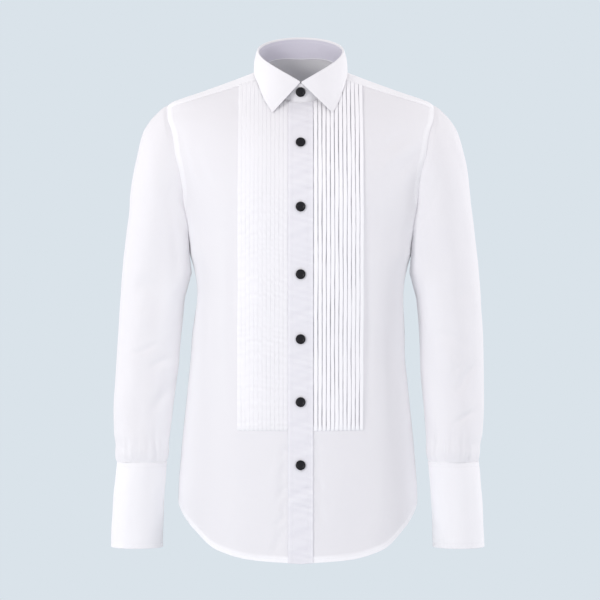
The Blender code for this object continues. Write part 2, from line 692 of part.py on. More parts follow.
def leaf_grid():
    """Middle surface of the leaf, from its -X front edge round the back to its +X one."""
    around = spread(math.pi - LEAF_START_ANGLE, -(math.pi - LEAF_START_ANGLE), LEAF_COLUMNS)
    angle = math.pi + around
    lap = lap_offset(around)
    root = stand_top(angle, lap - WALL / 2)
    out = unit(np.stack([np.sin(angle), -np.cos(angle), 0 * angle], -1))
    up = np.array([0.0, 0.0, 1.0])
    over_side = np.clip(lap / -STAND_LAP, 0, 1)
    radius = (LEAF_FOLD_RADIUS + LEAF_FOLD_EXTRA * over_side)[:, None]
    rows = [root + up * LEAF_ROOT_GAP]
    for bend in np.radians(LEAF_FOLD_BENDS):
        rows.append(
            root
            + out * radius * (1 + math.cos(bend))
            + up * (LEAF_ROOT_GAP + LEAF_FOLD_RISE + radius * math.sin(bend))
        )
    x_at, y_at, lift_at = leaf_edge_curves()
    from_front = np.pi - np.abs(around)
    side = np.where(around > 0, -1.0, 1.0)
    x = side * x_at(from_front) + LEAF_TIP_SHIFT * np.cos(from_front / 2) ** LEAF_TIP_POWER
    y = y_at(from_front)
    edge = np.stack([x, y, shoulder_height(np.abs(x), y) + lift_at(from_front)], -1)
    fold = rows[-1]
    for share in spread(0, 1, LEAF_ROWS)[1:]:
        rows.append(fold + (edge - fold) * share + out * LEAF_BULGE * 4 * share * (1 - share))
    return np.stack(rows, 1)


def make_collar():
    cloth("collar_stand", stand_grid()[::-1])
    cloth("collar_leaf", leaf_grid(), side=0.0)


# --- buttons -----------------------------------------------------------------------------------
def button_mesh():
    """A turned disc: flat back, rounded rim and a slightly dished face."""
    profile = (
        (0.0, BUTTON_THICKNESS - BUTTON_DISH),
        (BUTTON_DISH_RADIUS, BUTTON_THICKNESS - BUTTON_DISH),
        (BUTTON_LIP_RADIUS, BUTTON_THICKNESS),
        (BUTTON_RADIUS - BUTTON_RIM, BUTTON_THICKNESS),
        (BUTTON_RADIUS, BUTTON_THICKNESS - BUTTON_RIM),
        (BUTTON_RADIUS, BUTTON_RIM),
        (BUTTON_RADIUS - BUTTON_RIM, 0.0),
        (0.0, 0.0),
    )
    mesh = bpy.data.meshes.new("button")
    edges = [(i, i + 1) for i in range(len(profile) - 1)]
    mesh.from_pydata([(r, 0.0, z) for r, z in profile], edges, [])
    mesh.materials.append(material(BLACK_PLASTIC))
    return mesh


def add_button(name, mesh, seat, normal):
    """Seats a button's flat back on a point, facing along the normal."""
    piece = bpy.data.objects.new(name, mesh)
    turned = piece.modifiers.new("turned", "SCREW")
    turned.axis = "Z"
    turned.steps = BUTTON_SIDES
    turned.render_steps = BUTTON_SIDES
    turned.use_merge_vertices = True
    turned.merge_threshold = MERGE
    turned.use_smooth_shade = True
    piece.location = seat
    piece.rotation_euler = Vector(normal).to_track_quat("Z", "Y").to_euler()
    bpy.data.collections[COLLECTION].objects.link(piece)


def make_buttons():
    mesh = button_mesh()
    top = stand_top(0.0, STAND_LAP)
    base = neckline(0.0)
    share = (STAND_BUTTON_Z - base[2]) / (top[2] - base[2])
    seat = base + (top - base) * share
    normal = unit(np.cross(top - base, [-1.0, 0.0, 0.0]))
    add_button("button_1", mesh, seat + normal * (SEAM + STAND_LAP), normal)
    middle = front_columns([0.0])[0]
    for number, z in enumerate(PLACKET_BUTTON_Z, 2):
        span = z + np.array([-BUTTON_RADIUS, 0.0, BUTTON_RADIUS])
        low_y, seat_y, high_y = np.interp(span, middle[:, 2], middle[:, 1])
        normal = unit(np.array([0.0, -2 * BUTTON_RADIUS, high_y - low_y]))
        seat = np.array([0.0, seat_y, z]) + normal * (WALL + LAID_ON + SEAM)
        add_button(f"button_{number}", mesh, seat, normal)


def main():
    for old in list(bpy.data.objects):
        bpy.data.objects.remove(old, do_unlink=True)
    collection = bpy.data.collections.new(COLLECTION)
    bpy.context.scene.collection.children.link(collection)
    make_fronts()
    make_placket()
    make_bibs()
    make_back()
    make_yoke()
    make_sleeves()
    make_collar()
    make_buttons()


main()
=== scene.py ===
"""The formal shirt's cloth, buttons, stitching, light and camera, in metres, +Z up.

The front faces -Y and the wearer's left is +X. Every panel is a thin shell on the same body
form as its solid, moved in and out by creases that are placed one by one.
"""

import math

import bpy
import numpy as np
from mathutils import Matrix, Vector


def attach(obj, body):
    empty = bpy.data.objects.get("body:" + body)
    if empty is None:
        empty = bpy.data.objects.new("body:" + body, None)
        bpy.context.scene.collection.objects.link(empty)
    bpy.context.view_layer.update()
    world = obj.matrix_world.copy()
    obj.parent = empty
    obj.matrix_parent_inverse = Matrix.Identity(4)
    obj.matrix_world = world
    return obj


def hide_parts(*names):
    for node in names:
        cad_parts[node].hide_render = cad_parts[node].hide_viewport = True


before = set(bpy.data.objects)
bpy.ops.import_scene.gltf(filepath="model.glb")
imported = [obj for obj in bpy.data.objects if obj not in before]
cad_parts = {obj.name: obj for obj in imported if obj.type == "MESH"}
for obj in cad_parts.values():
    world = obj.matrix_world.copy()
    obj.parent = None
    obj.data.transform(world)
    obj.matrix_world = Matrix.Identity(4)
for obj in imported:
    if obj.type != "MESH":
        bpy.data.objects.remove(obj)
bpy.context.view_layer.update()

MM = 0.001

# --- body form: level sections (z, half width, front and back depth), as the solids have
BODY = (
    (0.030, 0.0425, 0.0080, 0.0385),
    (0.015, 0.0520, 0.0125, 0.0503),
    (0.000, 0.0620, 0.0190, 0.0600),
    (-0.012, 0.0891, 0.0280, 0.0665),
    (-0.030, 0.1378, 0.0455, 0.0760),
    (-0.049, 0.1880, 0.0610, 0.0860),
    (-0.060, 0.1985, 0.0700, 0.0910),
    (-0.080, 0.2075, 0.0850, 0.0985),
    (-0.115, 0.2070, 0.1035, 0.1085),
    (-0.160, 0.1915, 0.1170, 0.1150),
    (-0.205, 0.1725, 0.1235, 0.1170),
    (-0.245, 0.1622, 0.1245, 0.1150),
    (-0.285, 0.1606, 0.1240, 0.1105),
    (-0.305, 0.1568, 0.1237, 0.1080),
    (-0.330, 0.1543, 0.1230, 0.1050),
    (-0.400, 0.1540, 0.1200, 0.0990),
    (-0.460, 0.1590, 0.1190, 0.1005),
    (-0.550, 0.1680, 0.1195, 0.1110),
    (-0.625, 0.1727, 0.1200, 0.1165),
    (-0.720, 0.1730, 0.1200, 0.1185),
)
SQUARENESS = 2.3
SHOULDER_SEARCH_Z = (-0.13, 0.03)
HALVINGS = 34
NORMAL_STEP = 0.0001

NECK_HALF_WIDTH = 0.063
NECK_HALF_DEPTH = 0.056
NECK_CENTRE_Y = -0.008
NECK_CLEAR = 0.0004
NECK_LIP = -0.0015
ARMHOLE_CENTRE_Z = -0.147
ARMHOLE_HALF_HEIGHT = 0.098
ARMHOLE_FRONT = 0.063
ARMHOLE_BACK = 0.068
ARMHOLE_HOLLOWING = 0.3
YOKE_NECK_ANGLE = math.radians(70)
YOKE_ARMHOLE_ANGLE = math.radians(24)
YOKE_BACK_Z = -0.105
YOKE_SPLIT_X = 0.080
YOKE_SPLIT_ANGLE = math.radians(115)
YOKE_RAY_Z = -0.130
YOKE_RAY_REACH = (0.01, 0.25)
HEM_FRONT_Z = -0.7045
HEM_BACK_Z = -0.7120
HEM_SIDE_Z = -0.619
HEM = ((0.0, 0.0), (0.25, 0.054), (0.45, 0.205), (0.61, 0.50), (0.80, 0.80), (1.0, 1.0))

PLACKET_HALF_WIDTH = 0.01725
UNDERLAP_X = 0.0120
FRONT_EDGE_X = 0.0126
BIB_INNER_X = 0.0180
BIB_TUCK_X = 0.0150
BIB_OUTER_X = 0.0883
BIB_BOTTOM_Z = -0.5164
PLEATS = 12

# outer x and z, inner x and z, half depth and centre y of the sleeve's and the cuff's rings
SLEEVE = (
    (0.2023, -0.0575, 0.1630, -0.2500, 0.0665, 0.002),
    (0.2168, -0.0725, 0.1630, -0.2535, 0.0672, 0.002),
    (0.2275, -0.0900, 0.1628, -0.2570, 0.0674, 0.002),
    (0.2345, -0.1150, 0.1625, -0.2615, 0.0670, 0.001),
    (0.2405, -0.1500, 0.1620, -0.2680, 0.0655, 0.000),
    (0.2516, -0.2320, 0.1620, -0.2880, 0.0615, -0.002),
    (0.2562, -0.2755, 0.1648, -0.3050, 0.0595, -0.003),
    (0.2610, -0.3335, 0.1682, -0.3335, 0.0570, -0.004),
    (0.2662, -0.4495, 0.1766, -0.4495, 0.0510, -0.012),
    (0.2665, -0.4950, 0.1815, -0.4950, 0.0485, -0.018),
    (0.2655, -0.5250, 0.1848, -0.5250, 0.0460, -0.022),
    (0.2605, -0.5480, 0.1868, -0.5480, 0.0420, -0.025),
    (0.2598, -0.5656, 0.1882, -0.5656, 0.0382, -0.027),
)
CUFF = (
    (0.2602, -0.5662, 0.1878, -0.5662, 0.0386, -0.027),
    (0.2640, -0.6020, 0.1910, -0.6020, 0.0392, -0.028),
    (0.2672, -0.6450, 0.1930, -0.6450, 0.0396, -0.029),
    (0.2688, -0.6877, 0.1938, -0.6877, 0.0400, -0.030),
)
SLIT_ANGLE = -3 * math.pi / 8
SLEEVE_PLACKET_TOP_Z = -0.4495

STAND_TOP_HALF_WIDTH = 0.0613
STAND_TOP_HALF_DEPTH = 0.0570
STAND_TOP_CENTRE_Y = -0.0095
STAND_TOP_FRONT_Z = -0.0262
STAND_TOP_SIDE_Z = 0.0253
STAND_TOP_BACK_Z = 0.0488
STAND_V_SHARE = 0.72
STAND_LAP = 0.00075
STAND_OVER_END = math.radians(193.5)
STAND_UNDER_END = math.radians(191.5)
STAND_LAP_FULL = math.radians(166)
STAND_LAP_NONE = math.radians(115)
STAND_CORNER = math.radians(9)
STAND_CORNER_START = 0.35
STAND_CORNER_DROP = 0.55
LEAF_START_ANGLE = math.radians(1.2)
LEAF_ROOT_GAP = 0.0005
LEAF_FOLD_RADIUS = 0.00085
LEAF_FOLD_EXTRA = 0.0008
LEAF_FOLD_RISE = 0.0013
LEAF_BULGE = 0.0018
LEAF_TIP_SHIFT = 0.0026
LEAF_TIP_POWER = 8
LEAF_FOLD_ROWS = 16
LEAF_LAYERS = 0.30
LEAF_EDGE = (
    (1.2, 0.0430, -0.0785, 0.0050),
    (28.0, 0.0535, -0.0625, 0.0055),
    (55.0, 0.0620, -0.0400, 0.0045),
    (80.0, 0.0672, -0.0150, 0.0035),
    (100.0, 0.0668, 0.0080, 0.0030),
    (130.0, 0.0520, 0.0380, 0.0030),
    (155.0, 0.0285, 0.0530, 0.0030),
    (180.0, 0.0000, 0.0582, 0.0030),
    (205.0, -0.0285, 0.0530, 0.0030),
)

BUTTON_RADIUS = 0.0070
STAND_BUTTON_Z = -0.0368
PLACKET_BUTTON_Z = (-0.1118, -0.2025, -0.2972, -0.3884, -0.4771, -0.5658)
SOLID_WALL = 0.0010
SOLID_LAID_ON = 0.0008
SEAM = 0.0003

# --- cloth, as it is made: thicknesses and heights over the body form
CLOTH = 0.0005
STRIP_RISE = 0.00055
PLACKET_RISE = 0.0018
PLACKET_CLOTH = 0.0013
BIB_FLOOR = 0.0006
BIB_BACK = 0.00012
BIB_SMOOTHED = 0.0009
CUFF_CLOTH = 0.0016
STAND_CLOTH = 0.0011
LEAF_CLOTH = 0.0009
ARMHOLE_STRIP = 0.0098
HEM_STRIP = 0.0070
TUCK = 0.0045
TUCK_SINK = 0.0001
# rows of stitches: how far in from an edge, or from a strip's inner side
HEM_STITCH = 0.0048
EDGE_STITCH = 0.0014
TOP_STITCH = 0.0060
STRIP_STITCH = 0.0013
STRIP_GROOVE = 0.00018
STRIP_FALL = 0.0006
GROOVE_DEPTH = 0.0002
GROOVE_WIDTH = 0.0008
SHARP_ANGLE = 38

# --- where body and sleeve meet below the armpit
# the body stands out here, and just below it is drawn in; the sleeve moves over, and is dented
SIDE_FULLNESS = 0.0055
SIDE_DRAWN_IN = 0.0036
SIDE_DRAWN_MORE = 1.2
SLEEVE_CLEAR = 0.0005
SLEEVE_CLEAR_LOW = 0.0035
SLEEVE_CLEAR_BEHIND = 0.0030
SLEEVE_PULL = 0.0080
SLEEVE_PUSH = -0.005
SLEEVE_DENT = 0.0085
# between these heights or depths smooth() fades them in or out
FULL_BOTTOM = (-0.290, -0.262)
FULL_TOP = (-0.170, -0.215)
FULL_MIDDLE = (0.004, 0.034)
FULL_ENDS = (0.092, 0.060)
DRAWN_TOP = (-0.236, -0.262)
DRAWN_BOTTOM = (-0.400, -0.300)
DRAWN_ENDS = (0.080, 0.030)
DRAWN_BEHIND = (-0.036, -0.012)
CLEAR_BEHIND = (-0.01, 0.02)
BEHIND = (0.0, 0.02)
BEHIND_TOP = (-0.240, -0.260)
DENT_BEHIND = (-0.035, 0.0)
DENT_BOTTOM = (-0.325, -0.275)
PULL_BOTTOM = (-0.335, -0.290)
PULL_INWARD = (0.40, 0.72)
DENT_INWARD = (0.1, 0.6)
# painted light on the body's side and the sleeve's inner side, which lie against each other there, to
# lighten the shade between them
BESIDE_PAINTED_LIGHT = 0.85
BESIDE_LIGHT_ENDS = (0.085, 0.030)
BESIDE_LIGHT_TOP = (-0.19, -0.24)
SLEEVE_INNER_PAINTED_LIGHT = {1: 0.45, -1: 0.80}
PAINTED_LIGHT_INWARD = (0.10, 0.80)
PAINTED_LIGHT_TOP = (-0.27, -0.34)
# how far the lower body and the lower sleeves hang towards the wearer's right, and from where
LEAN = -0.0040
BODY_LEANS = (-0.30, -0.42)
SLEEVE_LEANS = (-0.36, -0.56)

# --- creases, in mm: a pair for each point of the line, then the width and the height (- is in)
# on the fronts, in x and z
FRONT_CREASES = (
    (112, -152, 138, -128, 168, -106, 13, 2.4),
    (138, -160, 154, -140, 170, -120, 11, -1.7),
    (108, -124, 128, -110, 148, -99, 11, -1.6),
    (106, -99, 118, -109, 8, -0.6),
    (113, -199, 109, -291, 112, -383, 11, 1.2),
    (97, -205, 95, -330, 97, -505, 9, -1.4),
    (132, -213, 129, -360, 133, -531, 12, -1.1),
    (148, -235, 143, -380, 148, -503, 11, 0.9),
    (118, -560, 112, -640, 110, -690, 16, 0.9),
    (-93, -178, -95, -330, -93, -480, 10, -1.3),
    (-112, -200, -108, -300, -112, -400, 12, 0.6),
    (-137, -330, -131, -420, -125, -510, 13, 0.8),
    (-146, -240, -141, -330, -146, -420, 12, -0.7),
    (-91, -51, -89, -68, 7, -0.8),
    (-170, -94, -162, -136, -152, -180, 8, -0.9),
    (-152, -120, -138, -150, -122, -185, 12, -0.7),
    (-104, -560, -112, -630, -108, -690, 16, -0.8),
    (-20, -540, -27, -556, 7, -1.5),
    (-22, -562, -25, -588, 8, -1.8),
    (-20, -592, -31, -614, 8, -2.0),
    (-22, -612, -24, -638, 6, -1.7),
    (-19, -634, -35, -652, 6, -2.0),
    (-24, -655, -40, -694, 9, -1.9),
    (-33, -560, -40, -605, 11, 1.0),
    (20, -530, 28, -545, 6, -1.5),
    (22, -552, 25, -575, 7, -1.5),
    (21, -582, 31, -604, 7, -1.5),
    (22, -618, 32, -646, 8, -1.4),
)
# on the back, in x and z
BACK_CREASES = (
    (62, -255, 56, -360, 60, -500, 15, -1.6),
    (84, -270, 80, -380, 86, -520, 15, 1.2),
    (-58, -245, -63, -370, -56, -490, 15, -1.5),
    (-82, -260, -86, -370, -80, -530, 15, 1.2),
    (18, -300, 24, -420, 16, -560, 18, 0.9),
    (-22, -310, -16, -430, -24, -540, 18, -0.8),
    (160, -165, 128, -185, 90, -196, 12, -1.4),
    (-160, -160, -132, -184, -96, -192, 12, -1.3),
    (164, -190, 134, -216, 104, -232, 11, 1.1),
    (-163, -195, -130, -222, -100, -236, 11, 1.0),
    (126, -250, 118, -340, 128, -470, 13, -1.1),
    (-130, -240, -120, -350, -126, -450, 13, -1.0),
    (40, -600, 48, -650, 44, -700, 16, 0.9),
    (-52, -590, -46, -650, -54, -705, 16, -0.9),
)
# on the front of the sleeve on the wearer's left, then the right, in x and z
LEFT_SLEEVE_CREASES = (
    (176, -176, 177, -280, 179, -376, 10, 1.3),
    (222, -106, 236, -140, 244, -184, 9, 2.2),
    (196, -120, 205, -200, 210, -290, 18, -0.8),
    (228, -462, 240, -440, 251, -426, 10, -3.0),
    (226, -508, 242, -498, 254, -490, 8, -2.4),
    (205, -396, 214, -420, 212, -448, 12, 1.3),
    (178, -398, 206, -384, 242, -398, 16, -1.2),
    (216, -436, 231, -428, 8, -0.9),
    (262, -300, 240, -322, 205, -330, 18, -0.9),
    (186, -425, 196, -460, 192, -500, 13, -0.9),
    (250, -470, 246, -505, 250, -530, 12, 0.9),
    (195, -516, 193, -563, 3.8, -1.5),
    (202, -536, 202, -563, 3.0, -1.1),
    (209, -522, 210, -563, 3.6, -1.3),
    (219, -512, 218, -563, 4.0, -1.4),
    (227, -538, 227, -563, 3.0, -1.0),
    (235, -520, 234, -563, 3.8, -1.2),
    (244, -535, 243, -563, 3.2, -0.9),
    (186, -518, 187, -560, 5, 0.9),
    (244, -515, 245, -562, 6, 1.0),
)
RIGHT_SLEEVE_CREASES = (
    (-240, -334, -223, -315, -204, -330, 24, -3.0),
    (-226, -352, -221, -372, 16, 1.6),
    (-236, -409, -222, -405, -206, -396, 8, -2.2),
    (-213, -430, -200, -422, -188, -417, 8, -2.0),
    (-176, -446, -192, -468, -208, -492, 13, -3.0),
    (-201, -438, -184, -427, -173, -417, 9, 1.2),
    (-252, -455, -256, -480, -250, -508, 15, 2.2),
    (-184, -212, -178, -262, -175, -312, 11, -1.8),
    (-212, -130, -222, -210, -228, -280, 20, -0.7),
    (-222, -106, -236, -140, -245, -190, 9, 2.2),
    (-236, -470, -226, -490, -230, -520, 12, -0.9),
    (-253, -536, -251, -562, 3.2, -0.9),
    (-244, -524, -243, -563, 3.8, -1.2),
    (-235, -541, -234, -563, 3.0, -0.9),
    (-228, -518, -227, -563, 3.8, -1.1),
    (-221, -537, -221, -563, 3.0, -0.9),
    (-214, -527, -215, -563, 3.4, -1.1),
    (-204, -516, -203, -563, 3.8, -1.2),
    (-195, -533, -196, -563, 3.4, -0.9),
    (-235, -518, -236, -560, 5, 0.9),
)
# on the back of the +X sleeve; the other sleeve has them turned over and a little apart
SLEEVE_BACK_CREASES = (
    (250, -352, 226, -344, 196, -356, 15, -1.9),
    (246, -392, 222, -384, 190, -396, 13, -1.7),
    (236, -372, 214, -366, 188, -376, 10, 1.3),
    (252, -428, 232, -418, 206, -424, 12, -1.2),
    (190, -190, 186, -250, 192, -310, 14, -1.4),
    (222, -150, 232, -220, 236, -290, 18, -0.9),
    (196, -450, 204, -490, 200, -520, 12, -1.0),
)

# --- colours
COTTON = (0.860, 0.853, 0.872)
COTTON_COOL = (0.838, 0.832, 0.856)
# the tone of doubled cloth, also mixed in as painted light; then the painted shade mixed in where that tone
# is below zero
DOUBLED_AND_PAINTED_LIGHT = (0.970, 0.968, 0.985)
PAINTED_SHADE = (0.400, 0.395, 0.430)
# a darker, cooler copy of the poplin for the placket: painted shade
PLACKET_SHADED_COTTON = (0.818, 0.812, 0.852)
PLACKET_SHADED_COOL = (0.796, 0.790, 0.838)
# a darker, lilac copy of the poplin for the stand's inner face: painted shade
INSIDE_SHADED_COTTON = (0.700, 0.685, 0.770)
INSIDE_SHADED_COOL = (0.675, 0.660, 0.750)
THREAD = (0.86, 0.86, 0.88)
BLACK = (0.006, 0.006, 0.008)
BACKGROUND = (0.701, 0.768, 0.823)
FLOOR = (0.66, 0.71, 0.75)
WORLD = (0.985, 0.965, 1.0)


# --- smooth curves and the body form
def hermite(t, start, end, leave, arrive):
    """Between start and end, leaving and arriving with the given rises."""
    first = (1 + 2 * t) * (1 - t) ** 2 * start + t * (1 - t) ** 2 * leave
    return first + (t * t * (3 - 2 * t) * end - t * t * (1 - t) * arrive)


def curve_through(knots, values):
    """A smooth function through the knots that doesn't overshoot between them."""
    order = np.argsort(knots)
    knots = np.asarray(knots, float)[order]
    values = np.asarray(values, float)[order]
    step = np.diff(knots)
    rise = np.diff(values) / step
    product = rise[:-1] * rise[1:]
    total = np.where(product > 0, rise[:-1] + rise[1:], 1.0)
    slope = np.concatenate([rise[:1], np.where(product > 0, 2 * product / total, 0.0), rise[-1:]])

    def at(x):
        x = np.clip(x, knots[0], knots[-1])
        i = np.clip(np.searchsorted(knots, x) - 1, 0, len(step) - 1)
        t = (x - knots[i]) / step[i]
        return hermite(t, values[i], values[i + 1], step[i] * slope[i], step[i] * slope[i + 1])

    return at


BODY_COLUMNS = list(zip(*BODY))
half_width, front_depth, back_depth = [curve_through(BODY_COLUMNS[0], c) for c in BODY_COLUMNS[1:]]
hem_rise = curve_through(*zip(*HEM))


def smooth(low, high, x):
    """0 at low and 1 at high, with soft ends; it falls with x where low is above high."""
    t = np.clip((x - low) / (high - low), 0, 1)
    return t * t * (3 - 2 * t)


def hump(x, centre, width):
    return np.exp(-(((x - centre) / width) ** 2))


def spread(start, end, steps):
    return np.linspace(start, end, steps + 1)


def join(*coordinates):
    """Points or vectors from their coordinates, which may be arrays of different shapes."""
    return np.stack(np.broadcast_arrays(*coordinates), -1)


def unit(vectors):
    return vectors / np.maximum(np.linalg.norm(vectors, axis=-1, keepdims=True), 1e-12)


def depth(y, z):
    return np.where(np.asarray(y) > 0, back_depth(z), front_depth(z))


def other_axis(share):
    return np.clip(1 - np.abs(share) ** SQUARENESS, 0, 1) ** (1 / SQUARENESS)


def body_level(x, y, z):
    return (np.abs(x) / half_width(z)) ** SQUARENESS + (np.abs(y) / depth(y, z)) ** SQUARENESS - 1


def body_normal(points):
    rises = []
    for step in NORMAL_STEP * np.eye(3):
        ahead = body_level(*np.moveaxis(points + step, -1, 0))
        behind = body_level(*np.moveaxis(points - step, -1, 0))
        rises.append(ahead - behind)
    return unit(join(*rises))


def front_at(x, z):
    return join(x, -front_depth(z) * other_axis(x / half_width(z)), z)


def back_at(x, z):
    return join(x, back_depth(z) * other_axis(x / half_width(z)), z)


def side_at(y, z):
    return join(half_width(z) * other_axis(y / depth(y, z)), y, z)


def last_inside(reach, place):
    """How far along each ray the body form ends; place gives the ray's points, reach its limits."""
    near, far = [np.full(np.shape(place(0)[0]), limit) for limit in reach]
    for _ in range(HALVINGS):
        middle = (near + far) / 2
        inside = body_level(*place(middle)) < 0
        near = np.where(inside, middle, near)
        far = np.where(inside, far, middle)
    return near


def shoulder_height(x, y):
    return last_inside(SHOULDER_SEARCH_Z, lambda z: (x, y, z))


def on_ring(turn, z):
    sine, cosine = np.sin(turn), np.cos(turn)
    reach = (np.abs(sine) ** SQUARENESS + np.abs(cosine) ** SQUARENESS) ** (-1 / SQUARENESS)
    deep = np.where(cosine < 0, back_depth(z), front_depth(z))
    return join(half_width(z) * sine * reach, -deep * cosine * reach, z)


def to_ring(points):
    x, y, z = np.moveaxis(points, -1, 0)
    return join(np.arctan2(x / half_width(z), -y / depth(y, z)), z)


def over_shoulder(x, tilt):
    """Points of the body form on rays that tilt from upright about a line inside it."""

    def along(reach):
        return x, reach * np.sin(tilt), YOKE_RAY_Z + reach * np.cos(tilt)

    return join(*along(last_inside(YOKE_RAY_REACH, along)))


def to_shoulder(points):
    return join(points[:, 0], np.arctan2(points[:, 1], points[:, 2] - YOKE_RAY_Z))


def neckline(angle, clear=0.0):
    x = (NECK_HALF_WIDTH + clear) * np.sin(angle)
    y = NECK_CENTRE_Y - (NECK_HALF_DEPTH + clear) * np.cos(angle)
    return join(x, y, shoulder_height(x, y))


def armhole(angle):
    sine = np.sin(angle)
    front = ARMHOLE_FRONT * np.abs(sine) ** ARMHOLE_HOLLOWING
    reach = np.where(sine > 0, front, ARMHOLE_BACK)
    z = ARMHOLE_CENTRE_Z + ARMHOLE_HALF_HEIGHT * np.cos(angle)
    return side_at(-reach * sine, z)


def hem_z(turn, centre_z):
    return centre_z + (HEM_SIDE_Z - centre_z) * hem_rise(turn / (math.pi / 2))


def yoke_front_z(x, shift=0.0):
    """The front yoke seam is straight in front view; shift moves it up."""
    neck = neckline(YOKE_NECK_ANGLE)
    arm = armhole(YOKE_ARMHOLE_ANGLE)
    return neck[2] + (x - neck[0]) * (arm[2] - neck[2]) / (arm[0] - neck[0]) + shift


# --- creases and ripples
# half widths out to which a crease counts, the part of a half wave that it follows from end to end,
# and how much the cloth beside it goes the other way
CREASE_REACH = 4
CREASE_TAPER = (0.12, 0.88)
CREASE_TAPER_POWER = 1.2
CREASE_SHOULDER = 0.3


def rounded_path(points, steps=6):
    """A smooth line through a crease's points, in metres."""
    points = np.asarray(points, float) * MM
    if len(points) < 3:
        return points
    padded = np.concatenate([2 * points[:1] - points[1:2], points, 2 * points[-1:] - points[-2:-1]])
    path = []
    for a, b, c, d in zip(padded, padded[1:], padded[2:], padded[3:]):
        for t in np.arange(steps) / steps:
            square, cube = 2 * a - 5 * b + 4 * c - d, 3 * b - a - 3 * c + d
            path.append(0.5 * (2 * b + (c - a) * t + square * t**2 + cube * t**3))
    return np.array(path + [points[-1]])


def crease_heights(creases, a, b):
    """How far all creases together move the points at a, b out of the surface."""
    total = np.zeros(a.shape)
    for *points, width, height in creases:
        path = rounded_path(np.reshape(points, (-1, 2)))
        sigma = width * MM / 2
        reach = CREASE_REACH * sigma
        low, high = path.min(0) - reach, path.max(0) + reach
        near = (a > low[0]) & (a < high[0]) & (b > low[1]) & (b < high[1])
        if not near.any():
            continue
        pa, pb = a[near], b[near]
        best = np.full(pa.shape, np.inf)
        along = np.zeros(pa.shape)
        run = 0.0
        for p, q in zip(path, path[1:]):
            step = q - p
            length = math.hypot(*step)
            t = np.clip(((pa - p[0]) * step[0] + (pb - p[1]) * step[1]) / length**2, 0, 1)
            gap = (pa - p[0] - t * step[0]) ** 2 + (pb - p[1] - t * step[1]) ** 2
            closer = gap < best
            best = np.where(closer, gap, best)
            along = np.where(closer, run + t * length, along)
            run += length
        start, end = CREASE_TAPER
        taper = np.sin(math.pi * (start + (end - start) * along / run)) ** CREASE_TAPER_POWER
        square = best / sigma**2
        total[near] += height * MM * taper * (1 - CREASE_SHOULDER * square) * np.exp(-square / 2)
    return total


# a sum of waves seldom goes past this many times the root of their number
WAVES_PEAK = 1.3


def ripple(s, wavelength, seed, parts=5):
    """Uneven waves along s, between about -1 and 1."""
    dice = np.random.default_rng(seed)
    total = np.zeros(np.shape(s))
    for _ in range(parts):
        number = 2 * math.pi / wavelength * dice.uniform(0.55, 1.5)
        total = total + np.sin(number * s + dice.uniform(0, 2 * math.pi))
    return total / parts**0.5 / WAVES_PEAK


def unevenness(a, b, wavelength, seed, parts=7):
    """Broad soft waves over a surface, between about -1 and 1."""
    dice = np.random.default_rng(seed)
    total = np.zeros(np.shape(a))
    for _ in range(parts):
        heading = dice.uniform(0, math.pi)
        number = 2 * math.pi / wavelength * dice.uniform(0.6, 1.5)
        along = a * math.cos(heading) + b * math.sin(heading)
        total = total + np.sin(number * along + dice.uniform(0, 2 * math.pi))
    return total / parts**0.5 / WAVES_PEAK


# where the folds fade in beside the placket and below the neck, and the heights of the softer ones
BESIDE_PLACKET = (0.017, 0.0195)
SOFT_BESIDE = (0.02, 0.07)
HELD_BY_NECK = (-0.015, -0.055)
FRONT_SOFT = 0.00035
BACK_SOFT = 0.0006


def side_fullness(y, z):
    """How far the cloth beside the armpit stands out towards the sleeve, and is drawn in below."""
    from_middle = np.abs(y)
    level = smooth(*FULL_BOTTOM, z) * smooth(*FULL_TOP, z)
    full = SIDE_FULLNESS * level * smooth(*FULL_MIDDLE, from_middle) * smooth(*FULL_ENDS, from_middle)
    drawn_in = smooth(*DRAWN_TOP, z) * smooth(*DRAWN_BOTTOM, z) * smooth(*DRAWN_ENDS, from_middle)
    return full - SIDE_DRAWN_IN * drawn_in * (1 + SIDE_DRAWN_MORE * smooth(*DRAWN_BEHIND, y))


def torso_folds(points):
    """Height of the folds in the body's cloth at points of the body form."""
    x, y, z = np.moveaxis(points, -1, 0)
    front = crease_heights(FRONT_CREASES, x, z) * smooth(*BESIDE_PLACKET, np.abs(x))
    front += FRONT_SOFT * unevenness(x, z * 0.55, 0.055, 3) * smooth(*SOFT_BESIDE, np.abs(x))
    back = crease_heights(BACK_CREASES, x, z) + BACK_SOFT * unevenness(x, z * 0.5, 0.07, 4)
    side = smooth(0.0, 0.03, np.abs(y))
    held = smooth(*HELD_BY_NECK, z)
    return np.where(y < 0, front, back) * (0.25 + 0.75 * side) * held + side_fullness(y, z)


def lean(z, heights=BODY_LEANS):
    """How far the cloth hangs towards the wearer's right at a height."""
    return LEAN * smooth(*heights, z)


def lifted(points, height):
    """Points of the body form, moved out by the folds and a height."""
    normals = body_normal(points)
    away = torso_folds(points) + height + normals[..., 0] * lean(points[..., 2])
    return points + normals * away[..., None]


# --- grids, shells and stitches
def coons(bottom, top, left, right, us=None, vs=None, top_hold=1):
    """A grid between four edges, as [column, row]; left and right run from bottom to top.

    A higher top_hold keeps the top edge's own shape close to that edge.
    """
    u = spread(0, 1, len(bottom) - 1) if us is None else us
    v = spread(0, 1, len(left) - 1) if vs is None else vs
    u, v = u[:, None, None], v[None, :, None]
    low = bottom[:, None] - (1 - u) * bottom[0] - u * bottom[-1]
    high = top[:, None] - (1 - u) * top[0] - u * top[-1]
    return (1 - u) * left[None] + u * right[None] + (1 - v) * low + v**top_hold * high


TURNED_OVER = np.array([-1.0, 1.0, 1.0])


def mirrored(grid):
    return (grid * TURNED_OVER)[::-1]


